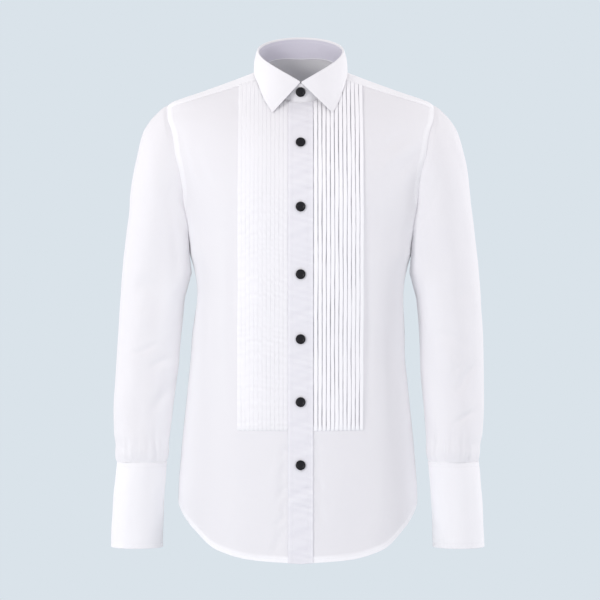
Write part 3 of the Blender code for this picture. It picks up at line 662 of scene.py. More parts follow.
def for_side(side, grid, *values):
    """A +X grid and its values as they are for side 1, and turned over for side -1."""
    return (grid, *values) if side > 0 else (mirrored(grid), *[rows[::-1] for rows in values])


def grid_normals(grid, closed=False):
    if closed:
        across = np.roll(grid, -1, 0) - np.roll(grid, 1, 0)
    else:
        across = np.gradient(grid, axis=0)
    return unit(np.cross(across, np.gradient(grid, axis=1)))


SIDES = ("first_column", "last_column")


def steps_between(grid, axis):
    return np.linalg.norm(np.diff(grid, axis=axis), axis=-1)


def walked(points, axis=0):
    """The distance from the first point of a line, or of each row or column of a grid."""
    walk = np.cumsum(steps_between(points, axis), axis=axis)
    return np.concatenate([np.zeros_like(np.take(walk, [0], axis=axis)), walk], axis=axis)


def from_edge(grid, edge):
    """Distance of every point from one edge of its grid, along its own row or column."""
    axis = 0 if "column" in edge else 1
    walk = walked(grid, axis)
    return np.take(walk, [-1], axis=axis) - walk if edge.startswith("last") else walk


def from_sides(grid):
    """Distance of every point from the nearer of the first and the last column."""
    return np.minimum(*[from_edge(grid, side) for side in SIDES])


def both_sides(*row):
    return [(side, *row) for side in SIDES]


def inset_line(grid, normals, edge, distance, keep=slice(None)):
    """The line at a distance from an edge of a grid, with its normals."""
    if "column" in edge:
        grid, normals = grid.swapaxes(0, 1), normals.swapaxes(0, 1)
    if edge.startswith("last"):
        grid, normals = grid[:, ::-1], normals[:, ::-1]
    grid, normals = grid[keep], normals[keep]
    walk = walked(grid, 1)
    index = np.clip((walk < distance).sum(1) - 1, 0, walk.shape[1] - 2)
    row = np.arange(len(grid))
    start, end = walk[row, index], walk[row, index + 1]
    share = np.clip((distance - start) / np.maximum(end - start, 1e-9), 0, 1)[:, None]
    points = grid[row, index] * (1 - share) + grid[row, index + 1] * share
    return points, unit(normals[row, index] * (1 - share) + normals[row, index + 1] * share)


def sewn_rows(grid, *rows):
    """Lines for stitches; each row says the edge, the distance from it and which part to keep."""
    normals = grid_normals(grid)
    return [inset_line(grid, normals, *row) for row in rows]


def strip(distance, width):
    """A stitched-down strip along an edge: raised, with a soft groove along its stitches."""
    body = STRIP_RISE * (1 - smooth(width - STRIP_FALL, width + 0.0004, distance))
    return body - STRIP_GROOVE * hump(distance, width - STRIP_STITCH, STRIP_FALL)


def folded(distance, width):
    """1 where cloth along an edge is folded over to this width, 0 beyond it."""
    return 1 - smooth(width - 0.0005, width + 0.0005, distance)


def quads(columns, rows, closed):
    i = np.arange(columns if closed else columns - 1)[:, None]
    j = np.arange(rows - 1)[None]
    here = i * rows + j
    there = (i + 1) % columns * rows + j
    return join(here, there, there + 1, here + 1).reshape(-1, 4)


def edge_loops(columns, rows, closed):
    """Pairs of neighbouring edge points, in the order that faces a rim outwards."""
    index = np.arange(columns * rows).reshape(columns, rows)
    if closed:
        low, high = index[:, 0], index[:, -1]
        return np.concatenate([join(np.roll(low, -1), low), join(high, np.roll(high, -1))])
    loop = np.concatenate([index[0], index[1:, -1], index[-1, -2::-1], index[-2:0:-1, 0]])
    return join(loop, np.roll(loop, -1))


def in_scene(name, data):
    made = bpy.data.objects.new(name, data)
    bpy.context.scene.collection.objects.link(made)
    return made


def mesh_object(name, points, faces, uv, look, layers_and_painted_light=None):
    mesh = bpy.data.meshes.new(name)
    mesh.from_pydata(points.tolist(), [], faces.tolist())
    if layers_and_painted_light is not None:
        layer = mesh.attributes.new("layers_and_painted_light", "FLOAT", "POINT")
        layer.data.foreach_set("value", np.asarray(layers_and_painted_light, np.float32))
    layer = mesh.uv_layers.new(name="grain")
    layer.data.foreach_set("uv", uv.reshape(-1).astype(np.float32))
    mesh.materials.append(look)
    mesh.shade_smooth()
    return in_scene(name, mesh)


def rings_object(name, points, sides, rings, closed, look):
    """An object of rings of points round a first point, closed by a last point if it is closed."""
    faces = []
    for k in range(sides):
        after = (k + 1) % sides
        faces.append((0, 1 + k, 1 + after))
        for ring in range(rings - 1):
            here, there = 1 + ring * sides, 1 + (ring + 1) * sides
            faces.append((here + k, there + k, there + after, here + after))
        if closed:
            faces.append((there + k, 1 + rings * sides, there + after))
    mesh = bpy.data.meshes.new(name)
    mesh.from_pydata(points, [], faces)
    mesh.materials.append(look)
    return in_scene(name, mesh)


def circle(radius, z, sides):
    return [(radius * math.cos(a), radius * math.sin(a), z) for a in spread(0, 2 * math.pi, sides)[:-1]]


def grain_uv(grid, closed):
    """Distances along the weave, in metres, at every point of a grid."""
    u = np.cumsum([0.0, *steps_between(grid, 0).mean(1)])
    v = np.cumsum([0.0, *steps_between(grid, 1).mean(0)])
    wrap = u[-1] + np.linalg.norm(grid[0] - grid[-1], axis=-1).mean() if closed else None
    return join(u[:, None], v), wrap


def shell(
    name,
    outer,
    look,
    thickness=CLOTH,
    inner=None,
    closed=False,
    sharp=SHARP_ANGLE,
    layers_and_painted_light=None,
    inner_look=None,
):
    """A thin wall of cloth with a rounded rim; the outer grid runs anticlockwise from outside.

    The layers tone says where the cloth is folded over or lies on more cloth, so that less shows through,
    and also where light and shade are painted on it.
    """
    columns, rows = outer.shape[:2]
    count = columns * rows
    if inner is None:
        inner = outer - grid_normals(outer, closed) * thickness
    away = np.zeros_like(outer)
    if not closed:
        away[0] += unit(outer[0] - outer[1])
        away[-1] += unit(outer[-1] - outer[-2])
    away[:, 0] += unit(outer[:, 0] - outer[:, 1])
    away[:, -1] += unit(outer[:, -1] - outer[:, -2])
    gap = np.linalg.norm(outer - inner, axis=-1, keepdims=True)
    rim = (outer + inner) / 2 + unit(away) * gap * 0.4
    top = quads(columns, rows, closed)
    bottom = top[:, ::-1] + count
    pairs = edge_loops(columns, rows, closed)
    a, b = pairs[:, 0], pairs[:, 1]
    used = np.unique(pairs)
    place = np.zeros(count, int)
    place[used] = np.arange(len(used)) + 2 * count
    upper = join(a, b, place[b], place[a])
    lower = join(place[a], place[b], count + b, count + a)
    faces = np.concatenate([top, bottom, upper, lower])
    points = np.concatenate([outer.reshape(-1, 3), inner.reshape(-1, 3), rim.reshape(-1, 3)[used]])
    grain, wrap = grain_uv(outer, closed)
    flat = grain.reshape(-1, 2)
    every = np.concatenate([flat, flat, flat[used]])
    uv = every[faces]
    if closed:
        turn = uv[..., 0].max(1, keepdims=True) - uv[..., 0] > wrap / 2
        uv[..., 0] += np.where(turn, wrap, 0.0)
    if layers_and_painted_light is not None:
        layers_and_painted_light = np.broadcast_to(layers_and_painted_light, outer.shape[:2]).reshape(-1)
        layers_and_painted_light = np.concatenate([layers_and_painted_light, layers_and_painted_light, layers_and_painted_light[used]])
    piece = mesh_object(name, points, faces, uv, look, layers_and_painted_light)
    if inner_look is not None:
        piece.data.materials.append(inner_look)
        slots = np.zeros(len(faces), np.int32)
        slots[len(top) : 2 * len(top)] = 1
        piece.data.polygons.foreach_set("material_index", slots)
    piece.data.set_sharp_from_angle(angle=math.radians(sharp))
    return piece


def resampled(points, normals, pitch):
    """Evenly spread places on a line, each with the line's direction and its normal."""
    walk = walked(points)
    count = max(int(walk[-1] / pitch), 1)
    at = (np.arange(count) + 0.5) * walk[-1] / count

    def values(at, rows):
        return join(*[np.interp(at, walk, rows[:, k]) for k in range(3)])

    along = unit(values(at + pitch / 4, points) - values(at - pitch / 4, points))
    return values(at, points), along, unit(values(at, normals))


STITCH_PITCH = 0.0029
STITCH_LENGTH = 0.0021
STITCH_WIDTH = 0.00042
STITCH_RISE = 0.00013
STITCH_SINK = 0.00022
# along a stitch: share of its length, share of its width, and height
STITCH_FORM = (
    (-0.5, 0.5, -STITCH_SINK), (-0.3, 0.3, STITCH_RISE), (0.3, 0.3, STITCH_RISE), (0.5, 0.5, -STITCH_SINK),
)
STITCH_FACES = np.array([(0, 1, 3, 2), (2, 3, 5, 4), (4, 5, 7, 6), (0, 2, 4, 6), (1, 7, 5, 3)])


def stitches(name, lines, look):
    """Rows of raised stitches along lines of points with normals."""
    points, faces = [], []
    first = 0
    for line, normals in lines:
        where, along, up = resampled(line, normals, STITCH_PITCH)
        side = unit(np.cross(up, along))
        corners = []
        for lengthways, sideways, height in STITCH_FORM:
            middle = where + along * STITCH_LENGTH * lengthways + up * height
            corners += [middle - side * STITCH_WIDTH * sideways, middle + side * STITCH_WIDTH * sideways]
        base = first + 8 * np.arange(len(where))[:, None, None]
        points.append(np.stack(corners, 1).reshape(-1, 3))
        faces.append((STITCH_FACES[None] + base).reshape(-1, 4))
        first += 8 * len(where)
    points, faces = np.concatenate(points), np.concatenate(faces)
    return mesh_object(name, points, faces, points[faces][..., :2], look)


# --- materials
THREAD_PITCH = 0.00042
WEAVE_DEPTH = 0.00006
SLUB_SCALE = 900.0
CRUMPLE_SCALE = 34.0
BROAD_SCALE = 11.0
BRIGHT_SHARE = 0.62


def rgba(colour):
    return (*colour, 1.0)


def feed(tree, node, values):
    """Each value goes to the socket it names: a number, a colour, or another node's output."""
    for socket, value in values.items():
        if isinstance(value, bpy.types.NodeSocket):
            tree.links.new(value, node.inputs[socket])
        else:
            node.inputs[socket].default_value = value
    return node


def add(tree, kind, values=(), **settings):
    """The outputs of a new node, made with these settings and values."""
    node = tree.nodes.new("ShaderNode" + kind)
    for name, value in settings.items():
        setattr(node, name, value)
    return feed(tree, node, dict(values)).outputs


def calc(tree, operation, *values, **settings):
    return add(tree, "Math", enumerate(values), operation=operation, **settings)[0]


def mix(tree, factor, a, b):
    return add(tree, "Mix", {"Factor": factor, "A": a, "B": b}, data_type="RGBA")["Result"]


def ranged(tree, value, to_low, to_high, from_low=0.0, from_high=1.0):
    ends = {"From Min": from_low, "From Max": from_high, "To Min": to_low, "To Max": to_high}
    return add(tree, "MapRange", {"Value": value, **ends})[0]


def bump(tree, height, strength, distance, **below):
    return add(tree, "Bump", {"Strength": strength, "Distance": distance, "Height": height, **below})[0]


def noise(tree, place, scale, detail, roughness=0.5):
    values = {"Scale": scale, "Detail": detail, "Roughness": roughness, "Vector": place}
    return add(tree, "TexNoise", values)["Fac"]


def new_material(name):
    made = bpy.data.materials.new(name)
    made.use_nodes = True
    return made, made.node_tree, made.node_tree.nodes["Principled BSDF"]


def cotton(name, colour, cool, crumple):
    """Woven cotton: warp and weft ridges, slubs, and soft pressing marks.

    It is lighter where the cloth is doubled and where light is painted on, and painted shade darkens it
    where that attribute is below zero.
    """
    made, tree, shader = new_material(name)
    grain = add(tree, "SeparateXYZ", {0: add(tree, "UVMap", uv_map="grain")["UV"]})
    place = add(tree, "TexCoord")["Object"]
    turn = 2 * math.pi / THREAD_PITCH
    warp, weft = [calc(tree, "SINE", calc(tree, "MULTIPLY", grain[axis], turn)) for axis in (0, 1)]
    weave = calc(tree, "MULTIPLY_ADD", calc(tree, "MULTIPLY", warp, weft), 0.5, 0.5)
    slub = noise(tree, place, SLUB_SCALE, 2.0)
    height = calc(tree, "MULTIPLY", weave, calc(tree, "ADD", slub, 0.5))
    woven = bump(tree, height, 0.35, WEAVE_DEPTH)
    pressed = bump(tree, noise(tree, place, CRUMPLE_SCALE, 4.0, 0.55), 0.5, crumple, Normal=woven)
    broad = noise(tree, place, BROAD_SCALE, 2.0)
    shade = calc(tree, "MULTIPLY", calc(tree, "ADD", broad, height), BRIGHT_SHARE, use_clamp=True)
    # tone attribute: doubled cloth and painted light above zero, painted shade below zero
    layer_and_painted_light_tone = add(tree, "Attribute", attribute_name="layers_and_painted_light")["Fac"]
    tint = mix(tree, shade, rgba(cool), rgba(colour))
    tint = mix(tree, layer_and_painted_light_tone, tint, rgba(DOUBLED_AND_PAINTED_LIGHT))
    tint = mix(tree, calc(tree, "MULTIPLY", layer_and_painted_light_tone, -1.0), tint, rgba(PAINTED_SHADE))
    looks = {"Base Color": tint, "Normal": pressed, "Roughness": ranged(tree, height, 0.70, 0.90)}
    feed(tree, shader, {**looks, "Sheen Weight": 0.12, "Sheen Roughness": 0.6, "Specular IOR Level": 0.25})
    return made


def thread_material():
    made, tree, shader = new_material("sewing_thread")
    twist = noise(tree, add(tree, "TexCoord")["Object"], 2600.0, 1.0)
    tint = mix(tree, twist, rgba([c * 0.93 for c in THREAD]), rgba(THREAD))
    twisted = bump(tree, twist, 0.3, 0.00006)
    feed(tree, shader, {"Base Color": tint, "Normal": twisted, "Roughness": 0.55, "Sheen Weight": 0.2})
    return made


def button_material():
    made, tree, shader = new_material("black_plastic_polished")
    place = add(tree, "TexCoord")["Object"]
    tint = mix(tree, noise(tree, place, 320.0, 3.0), rgba(BLACK), rgba([c * 1.8 for c in BLACK]))
    wear = ranged(tree, noise(tree, place, 1500.0, 2.0), 0.20, 0.36)
    coat = {"Specular IOR Level": 0.22, "Coat Weight": 0.08, "Coat Roughness": 0.15}
    feed(tree, shader, {"Base Color": tint, "Roughness": wear, **coat})
    return made


poplin = cotton("white_cotton_poplin", COTTON, COTTON_COOL, 0.0011)
crisp = cotton("white_cotton_pressed", COTTON, COTTON_COOL, 0.0005)
# the placket's cotton, darkened with painted shade
placket_shaded_cotton = cotton("white_cotton_placket_painted_shade", PLACKET_SHADED_COTTON, PLACKET_SHADED_COOL, 0.0006)
# the stand's inner face: the cotton darkened with painted shade
inside_shaded_cotton = cotton("white_cotton_shaded_side", INSIDE_SHADED_COTTON, INSIDE_SHADED_COOL, 0.0006)
thread = thread_material()
polished = button_material()


# --- attaching the pieces and hiding their solids
def trim(piece):
    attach(piece, "root")
    return piece


def declare(piece, node, lines=()):
    """A sheet of cloth that stands for its solid, with stitches along these lines."""
    sewn = [trim(stitches("stitches_" + node, lines, thread))] if lines else ()
    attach(piece, "root")
    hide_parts(node)


# --- front panels
FLANK_TOP_HOLD = 10
HEM_PUCKER = 0.00025
FRONT_PUCKER = 0.00022
# how much darker than the other strips the armholes' ones are, and how much more so lower down
ARM_SHADE = 0.38
ARM_SHADE_LOW = 0.17
ARM_SHADE_FROM = (-0.11, -0.20)
FRONT_ROWS = 196
SIDE_ROWS = 132
FLANK_SHARES = np.concatenate(
    [np.linspace(0, 0.895, 33)[1:], [0.912, 0.926, 0.936, 0.944, 0.955, 0.968, 0.980, 0.990, 1.0]]
)


def front_top_z(x):
    """Where a front ends: on the neckline, then tucked under the yoke."""
    neck_x = neckline(YOKE_NECK_ANGLE)[0]
    x = abs(x)
    if x < neck_x:
        return float(neckline(math.asin(x / (NECK_HALF_WIDTH + NECK_CLEAR)), NECK_CLEAR)[2])
    return float(yoke_front_z(x, TUCK * smooth(neck_x, neck_x + 0.006, x)))


def front_column(x, rows):
    turn = to_ring(front_at(abs(x), HEM_FRONT_Z))[0]
    low = float(hem_z(turn, HEM_FRONT_Z))
    return spread(low, front_top_z(x), rows)


def tucked_arm_end():
    """The angle on the armhole at which the top edge, tucked under the yoke, meets it."""
    angle = YOKE_ARMHOLE_ANGLE
    for _ in range(20):
        z = yoke_front_z(armhole(angle)[0], TUCK)
        angle = math.acos((z - ARMHOLE_CENTRE_Z) / ARMHOLE_HALF_HEIGHT)
    return angle


def front_panel(edge_xs):
    """The +X front as a grid on the body form: straight columns to the bib's edge, then the flank."""
    xs = np.concatenate([edge_xs, spread(BIB_INNER_X, BIB_OUTER_X, 21)])
    middle = np.stack([front_at(x, front_column(x, FRONT_ROWS)) for x in xs])
    left = to_ring(middle[-1])
    shares = np.concatenate([[0.0], FLANK_SHARES])
    turns = left[0, 0] + (math.pi / 2 - left[0, 0]) * shares
    bottom = join(turns, hem_z(turns, HEM_FRONT_Z))
    arm_end = tucked_arm_end()
    top_x = BIB_OUTER_X + (armhole(arm_end)[0] - BIB_OUTER_X) * shares
    top = to_ring(front_at(top_x, yoke_front_z(top_x, TUCK)))
    right = side_and_arm(bottom[-1, 1], SIDE_ROWS, spread(math.pi, arm_end, FRONT_ROWS - SIDE_ROWS))
    top[-1] = right[-1]
    flank = coons(bottom, top, left, right, us=shares, top_hold=FLANK_TOP_HOLD)
    return np.concatenate([middle, on_ring(flank[1:, :, 0], flank[1:, :, 1])])


def side_and_arm(low_z, side_rows, arm_angles):
    """A panel's edge on the ring: up the side seam from the hem, then round the armhole."""
    side_z = spread(low_z, ARMHOLE_CENTRE_Z - ARMHOLE_HALF_HEIGHT, side_rows)[:-1]
    arm = to_ring(armhole(arm_angles))
    arm[0, 0] = math.pi / 2
    return np.concatenate([join(math.pi / 2, side_z), arm])


def arm_share(grid, side_rows):
    """0 beside the side seam and 1 beside the armhole."""
    return smooth(side_rows - 3, side_rows + 3, np.arange(grid.shape[1])[None])


def with_hem(grid, height, under_yoke, seed, side_layers, hem_layers):
    """Adds the hem's strip and the tuck under the yoke, says where the cloth is doubled, and adds painted
    light beside the sleeve.
    """
    to_hem = from_edge(grid, "first_row")
    height = height + HEM_PUCKER * ripple(grid[..., 0], 0.014, seed) * np.exp(-to_hem / 0.010)
    # painted light on the side next to the sleeve, which lightens the shade there
    lit_beside_sleeve = smooth(*BESIDE_LIGHT_ENDS, np.abs(grid[..., 1])) * smooth(*BESIDE_LIGHT_TOP, grid[..., 2])
    layers_and_painted_light = np.maximum(side_layers, hem_layers * folded(to_hem, HEM_STRIP))
    layers_and_painted_light = np.maximum(layers_and_painted_light, BESIDE_PAINTED_LIGHT * lit_beside_sleeve)
    return height * (1 - under_yoke) - TUCK_SINK * under_yoke, layers_and_painted_light


def pucker(grid, to_side, wavelength, seed, start, full):
    """Small waves along a side seam, strongest a little in from it."""
    return ripple(grid[..., 2], wavelength, seed) * np.exp(-to_side / 0.012) * smooth(start, full, to_side)


def front_heights(grid):
    """Strips at the hem, the side seam and the armhole, where the cloth is doubled, and the painted light
    beside the sleeve.
    """
    to_side = from_edge(grid, "last_column")
    x, z = np.abs(grid[..., 0]), grid[..., 2]
    is_arm = arm_share(grid, SIDE_ROWS)
    width = ARMHOLE_STRIP * is_arm + HEM_STRIP * (1 - is_arm)
    height = strip(to_side, width) + FRONT_PUCKER * pucker(grid, to_side, 0.011, 11, 0.0004, 0.003)
    height = np.maximum(height, strip(from_edge(grid, "first_row"), HEM_STRIP))
    under_yoke = smooth(0.001, -0.001, yoke_front_z(x) - z) * smooth(0.058, 0.061, x)
    arm_tone = 1 - is_arm * (ARM_SHADE + ARM_SHADE_LOW * smooth(*ARM_SHADE_FROM, z))
    return with_hem(grid, height, under_yoke, 12, folded(to_side, width) * arm_tone, 1.0)


def make_front(name, edge_xs, side):
    grid = front_panel(edge_xs)
    grid, heights, layers_and_painted_light = for_side(side, grid, *front_heights(grid))
    outer = lifted(grid, heights)
    seam = "last_column" if side > 0 else "first_column"
    below = slice(2, SIDE_ROWS)
    lines = sewn_rows(
        outer,
        ("first_row", HEM_STITCH),
        (seam, ARMHOLE_STRIP - STRIP_STITCH, slice(SIDE_ROWS, FRONT_ROWS - 3)),
        (seam, HEM_STRIP - STRIP_STITCH, below),
        (seam, 0.0010, below),
    )
    declare(shell(name, outer, poplin, layers_and_painted_light=layers_and_painted_light), name, lines)


# --- placket
PLACKET_ROWS = 232
PLACKET_STITCH_X = 0.01075
PLACKET_RIM_X = 0.0156
PLACKET_RIM_TONE = 0.25
# painted light and shade that follow the placket's ripples, on a slight lightening of the whole strip
PLACKET_RIPPLE_LIGHT = 0.16
PLACKET_WAVE = 0.00038
PLACKET_GROOVE = 0.00022
EDGE_WAVE = 0.00012
PLACKET_XS_MM = (0.0, 2.5, 5.0, 7.5, 9.2, 10.0, 10.75, 11.5, 12.6, 14.2, 15.6, 16.6)


def make_placket():
    half = PLACKET_HALF_WIDTH / MM
    right = [*PLACKET_XS_MM, half]
    xs = np.array([-x for x in right[:0:-1]] + right) * MM
    grid = np.stack([front_at(x, front_column(x, PLACKET_ROWS)) for x in xs])
    x, z = grid[..., 0], grid[..., 2]
    button_gap = np.min([np.abs(z - b) for b in (STAND_BUTTON_Z, *PLACKET_BUTTON_Z)], axis=0)
    between = smooth(0.006, 0.020, button_gap)
    wave = ripple(z + 0.25 * x, 0.0115, 21) * (0.5 + 0.5 * smooth(-0.012, 0.012, x))
    wave = wave + 0.7 * ripple(z - 0.4 * x, 0.019, 22)
    height = PLACKET_RISE + PLACKET_WAVE * wave * between
    for edge in (-1, 1):
        height = height - PLACKET_GROOVE * hump(x, edge * PLACKET_STITCH_X, GROOVE_WIDTH)
        height = height + EDGE_WAVE * hump(x, edge * 0.0140, 0.0022) * ripple(z, 0.0075, 23 + edge)
    outer = grid + body_normal(grid) * height[..., None]
    inner = grid + body_normal(grid) * (PLACKET_RISE - PLACKET_CLOTH)
    rims = folded(np.abs(np.abs(x) - PLACKET_RIM_X), 0.0010)
    # the folded rims' tone, and painted light and shade along the ripples between the buttons
    layers_and_painted_light = PLACKET_RIM_TONE * rims + PLACKET_RIPPLE_LIGHT * (1 + wave * between)
    inset = PLACKET_HALF_WIDTH - PLACKET_STITCH_X
    lines = sewn_rows(outer, *both_sides(inset), ("first_row", HEM_STITCH))
    piece = shell("placket", outer, placket_shaded_cotton, inner=inner, layers_and_painted_light=layers_and_painted_light)
    declare(piece, "placket", lines)


# --- pleated bibs
# points across one pleat: share of its pitch and height as a share of its fold where it lies pressed
# flat, the same two where it stands open, and how far the point lies on the fold's crest, which sets its
# painted highlight
PLEAT = (
    (0.0, 0.3, 0.0, 0.0, 0.0),
    (0.06, 0.34, 0.085, 0.0, 0.0),
    (0.12, 0.4, 0.15, 0.32, 0.5),
    (0.2, 0.48, 0.215, 0.58, 1.0),
    (0.36, 0.6, 0.36, 0.78, 1.0),
    (0.58, 0.74, 0.58, 0.92, 1.0),
    (0.8, 0.86, 0.8, 1.0, 1.0),
    (0.93, 0.92, 0.93, 1.0, 1.0),
    (0.995, 0.9, 0.985, 0.92, 0.8),
    (1.01, 0.78, 1.005, 0.72, 0.4),
    (1.01, 0.58, 0.995, 0.4, 0.0),
    (0.99, 0.32, 0.96, 0.03, 0.0),
)
PLEAT_RISE = 0.0021
PLEAT_FLATTENED = 0.62
# wavelength along the pleat and first seed: two of its line, then two of how far it stands open
PLEAT_WAVES = ((0.15, 0), (0.03, 40), (0.12, 80), (0.024, 120))
WAVER = 0.00040
WAVER_FINE = 0.00014
PLEAT_OPENED = 0.90
OPEN_BROAD = 0.38
OPEN_FINE = 0.16
BIB_ROWS = 130
# the small cross rows on the pressed pleats of the -X bib, and its tones: painted light and shade along the
# rows, and painted shade towards its outer side
PLEAT_PITCH = 0.0056
CRINKLE_SLOPE = 0.06
CRINKLED = (-0.10, -0.30)
CRINKLE_HEIGHT = 0.00014
CRINKLE_PAINTED_SHADING = 0.30
FLAT_TONE = 0.52
FLAT_CONTRAST = 0.30
INNER_SHADE = 0.30


def bib_grid(seed, openness):
    """Inner and outer grid of the +X bib; each pleat's free edge faces out from the placket."""
    pitch = (BIB_OUTER_X - BIB_INNER_X) / PLEATS
    t = spread(0, 1, BIB_ROWS)
    full = np.ones(BIB_ROWS + 1)
    outer = [
        (BIB_TUCK_X * full, 0.00042 * full, 0.5 * full),
        ((BIB_INNER_X - 0.0005) * full, 0.00044 * full, 0.5 * full),
    ]
    reach = t * (front_top_z(0.04) - BIB_BOTTOM_Z)
    free = (0.35 + 0.65 * smooth(0.0, 0.007, reach)) * (1 - 0.5 * smooth(0.96, 1.0, t))
    for pleat in range(PLEATS):
        waves = [ripple(reach, w, seed + first + pleat) for w, first in PLEAT_WAVES]
        waver = WAVER * waves[0] + WAVER_FINE * waves[1]
        opened = openness * (PLEAT_OPENED + OPEN_BROAD * waves[2])
        opened = np.clip(opened + OPEN_FINE * openness * waves[3], 0.0, 1.1) * free
        for flat_share, flat_height, open_share, open_height, crest_highlight in PLEAT:
            share = flat_share + (open_share - flat_share) * opened
            height = PLEAT_FLATTENED * flat_height
            height = height + (open_height - height) * opened
            x = BIB_INNER_X + pitch * (pleat + share)
            x = x + waver * smooth(0.1, 0.9, share) * free
            # crests get painted highlight; points off the crest get painted shade as the pleat opens
            layer_and_painted_light_tone = crest_highlight * full if crest_highlight > 0 else -opened
            outer.append((np.minimum(x, BIB_OUTER_X + 0.0002), BIB_FLOOR + PLEAT_RISE * height, layer_and_painted_light_tone))
    outer.append((BIB_OUTER_X * full, (BIB_BACK + 0.0003) * full, 0.3 * full))
    xs, heights, layers_and_painted_light = [np.stack(values) for values in zip(*outer)]
    column_x = spread(BIB_TUCK_X, BIB_OUTER_X, len(outer) - 1)
    tops = np.array([front_top_z(x) for x in column_x])
    under = yoke_front_z(column_x, -0.0005)
    tops = np.where(column_x > 0.0595, np.maximum(under, tops - TUCK), tops)
    z = BIB_BOTTOM_Z + (tops - BIB_BOTTOM_Z)[:, None] * t[None]
    flat = front_at(column_x[:, None], z)
    return front_at(xs, z), heights, flat, layers_and_painted_light


def make_bib(name, side, seed, openness):
    base, heights, flat, layers_and_painted_light = bib_grid(seed, openness)
    base, heights, layers_and_painted_light = for_side(side, base, heights, layers_and_painted_light)
    flat = for_side(side, flat)[0]
    if side < 0:
        x, z = flat[..., 0], flat[..., 2]
        across = z + CRINKLE_SLOPE * x
        pleat = np.round(x / PLEAT_PITCH)
        rows = ripple(across + 0.0008 * np.sin(2.4 * pleat), 0.0075, seed + 900)
        rows = rows * smooth(*CRINKLED, across) * (0.7 + 0.3 * ripple(across, 0.11, seed + 910))
        heights = heights + CRINKLE_HEIGHT * rows
        # a base tone, part of the crest highlight and slit shade, painted light and shade along the cross
        # rows, and painted shade towards the outer side
        layers_and_painted_light = FLAT_TONE + FLAT_CONTRAST * layers_and_painted_light
        layers_and_painted_light = layers_and_painted_light + CRINKLE_PAINTED_SHADING * rows - INNER_SHADE * smooth(-0.080, -0.040, x)
    outer = lifted(base, heights)
    inner = lifted(flat, BIB_BACK)
    piece = shell(name, outer, crisp, inner=inner, sharp=50, layers_and_painted_light=layers_and_painted_light)
    smoothed = lifted(flat, BIB_FLOOR + BIB_SMOOTHED)
    far = "last_column" if side > 0 else "first_column"
    (points, normals), bottom = sewn_rows(smoothed, (far, 0.0011), ("first_row", 0.0012))
    lines = [(points - normals * BIB_FLOOR, normals), bottom]
    declare(piece, name, lines)


# --- back and yoke
BACK_ROWS = 170
BACK_SIDE_ROWS = 128
BACK_PUCKER = 0.0002
BACK_LAYERS = 0.6
BACK_SHARES = np.concatenate(
    [[0.0, 0.0025, 0.005, 0.008, 0.011, 0.0135, 0.0155, 0.0175, 0.0195, 0.023], np.linspace(0.03, 0.5, 56)]
)


def back_armhole_angle(z):
    return -math.acos((z - ARMHOLE_CENTRE_Z) / ARMHOLE_HALF_HEIGHT)


def make_back():
    shares = np.concatenate([BACK_SHARES, 1 - BACK_SHARES[-2::-1]])
    top_z = YOKE_BACK_Z + TUCK
    turns = math.pi / 2 + math.pi * shares
    bottom = join(turns, hem_z(np.abs(turns - math.pi), HEM_BACK_Z))
    arm_angles = spread(-math.pi, back_armhole_angle(top_z), BACK_ROWS - BACK_SIDE_ROWS)
    left = side_and_arm(bottom[0, 1], BACK_SIDE_ROWS, arm_angles)
    right = join(2 * math.pi - left[:, 0], left[:, 1])
    top = join(left[-1, 0] + (right[-1, 0] - left[-1, 0]) * shares, top_z)
    flat = coons(bottom, top, left, right, us=shares)
    grid = on_ring(flat[..., 0], flat[..., 1])
    to_side = from_sides(grid)
    is_arm = arm_share(grid, BACK_SIDE_ROWS)
    height = strip(to_side, ARMHOLE_STRIP) * is_arm
    height = np.maximum(height, strip(from_edge(grid, "first_row"), HEM_STRIP))
    height = height + BACK_PUCKER * pucker(grid, to_side, 0.012, 31, 0.0, 0.004)
    under_yoke = smooth(YOKE_BACK_Z - 0.001, YOKE_BACK_Z + 0.001, grid[..., 2])
    side_layers = BACK_LAYERS * folded(to_side, ARMHOLE_STRIP) * is_arm
    height, layers_and_painted_light = with_hem(grid, height, under_yoke, 32, side_layers, BACK_LAYERS)
    outer = lifted(grid, height)
    beside_arms = both_sides(ARMHOLE_STRIP - STRIP_STITCH, slice(BACK_SIDE_ROWS, BACK_ROWS - 3))
    lines = sewn_rows(outer, ("first_row", HEM_STITCH), *beside_arms)
    declare(shell("back", outer, poplin, layers_and_painted_light=layers_and_painted_light), "back", lines)


def distance_to_line(points, line):
    """Distance of points from a finely divided line."""
    flat = points.reshape(-1, 3)
    best = np.full(len(flat), np.inf)
    for p in line:
        best = np.minimum(best, ((flat - p) ** 2).sum(1))
    return np.sqrt(best).reshape(points.shape[:-1])


def yoke_lines():
    """The yoke's seams on the +X side: front, back and armhole."""
    arm_back = back_armhole_angle(YOKE_BACK_Z)
    arm = armhole(spread(arm_back, YOKE_ARMHOLE_ANGLE, 160))
    seam_x = spread(armhole(YOKE_ARMHOLE_ANGLE)[0], neckline(YOKE_NECK_ANGLE)[0], 160)
    seam = front_at(seam_x, yoke_front_z(seam_x))
    back_x = spread(armhole(arm_back)[0], 0.0, 200)
    return arm, seam, back_at(back_x, YOKE_BACK_Z)


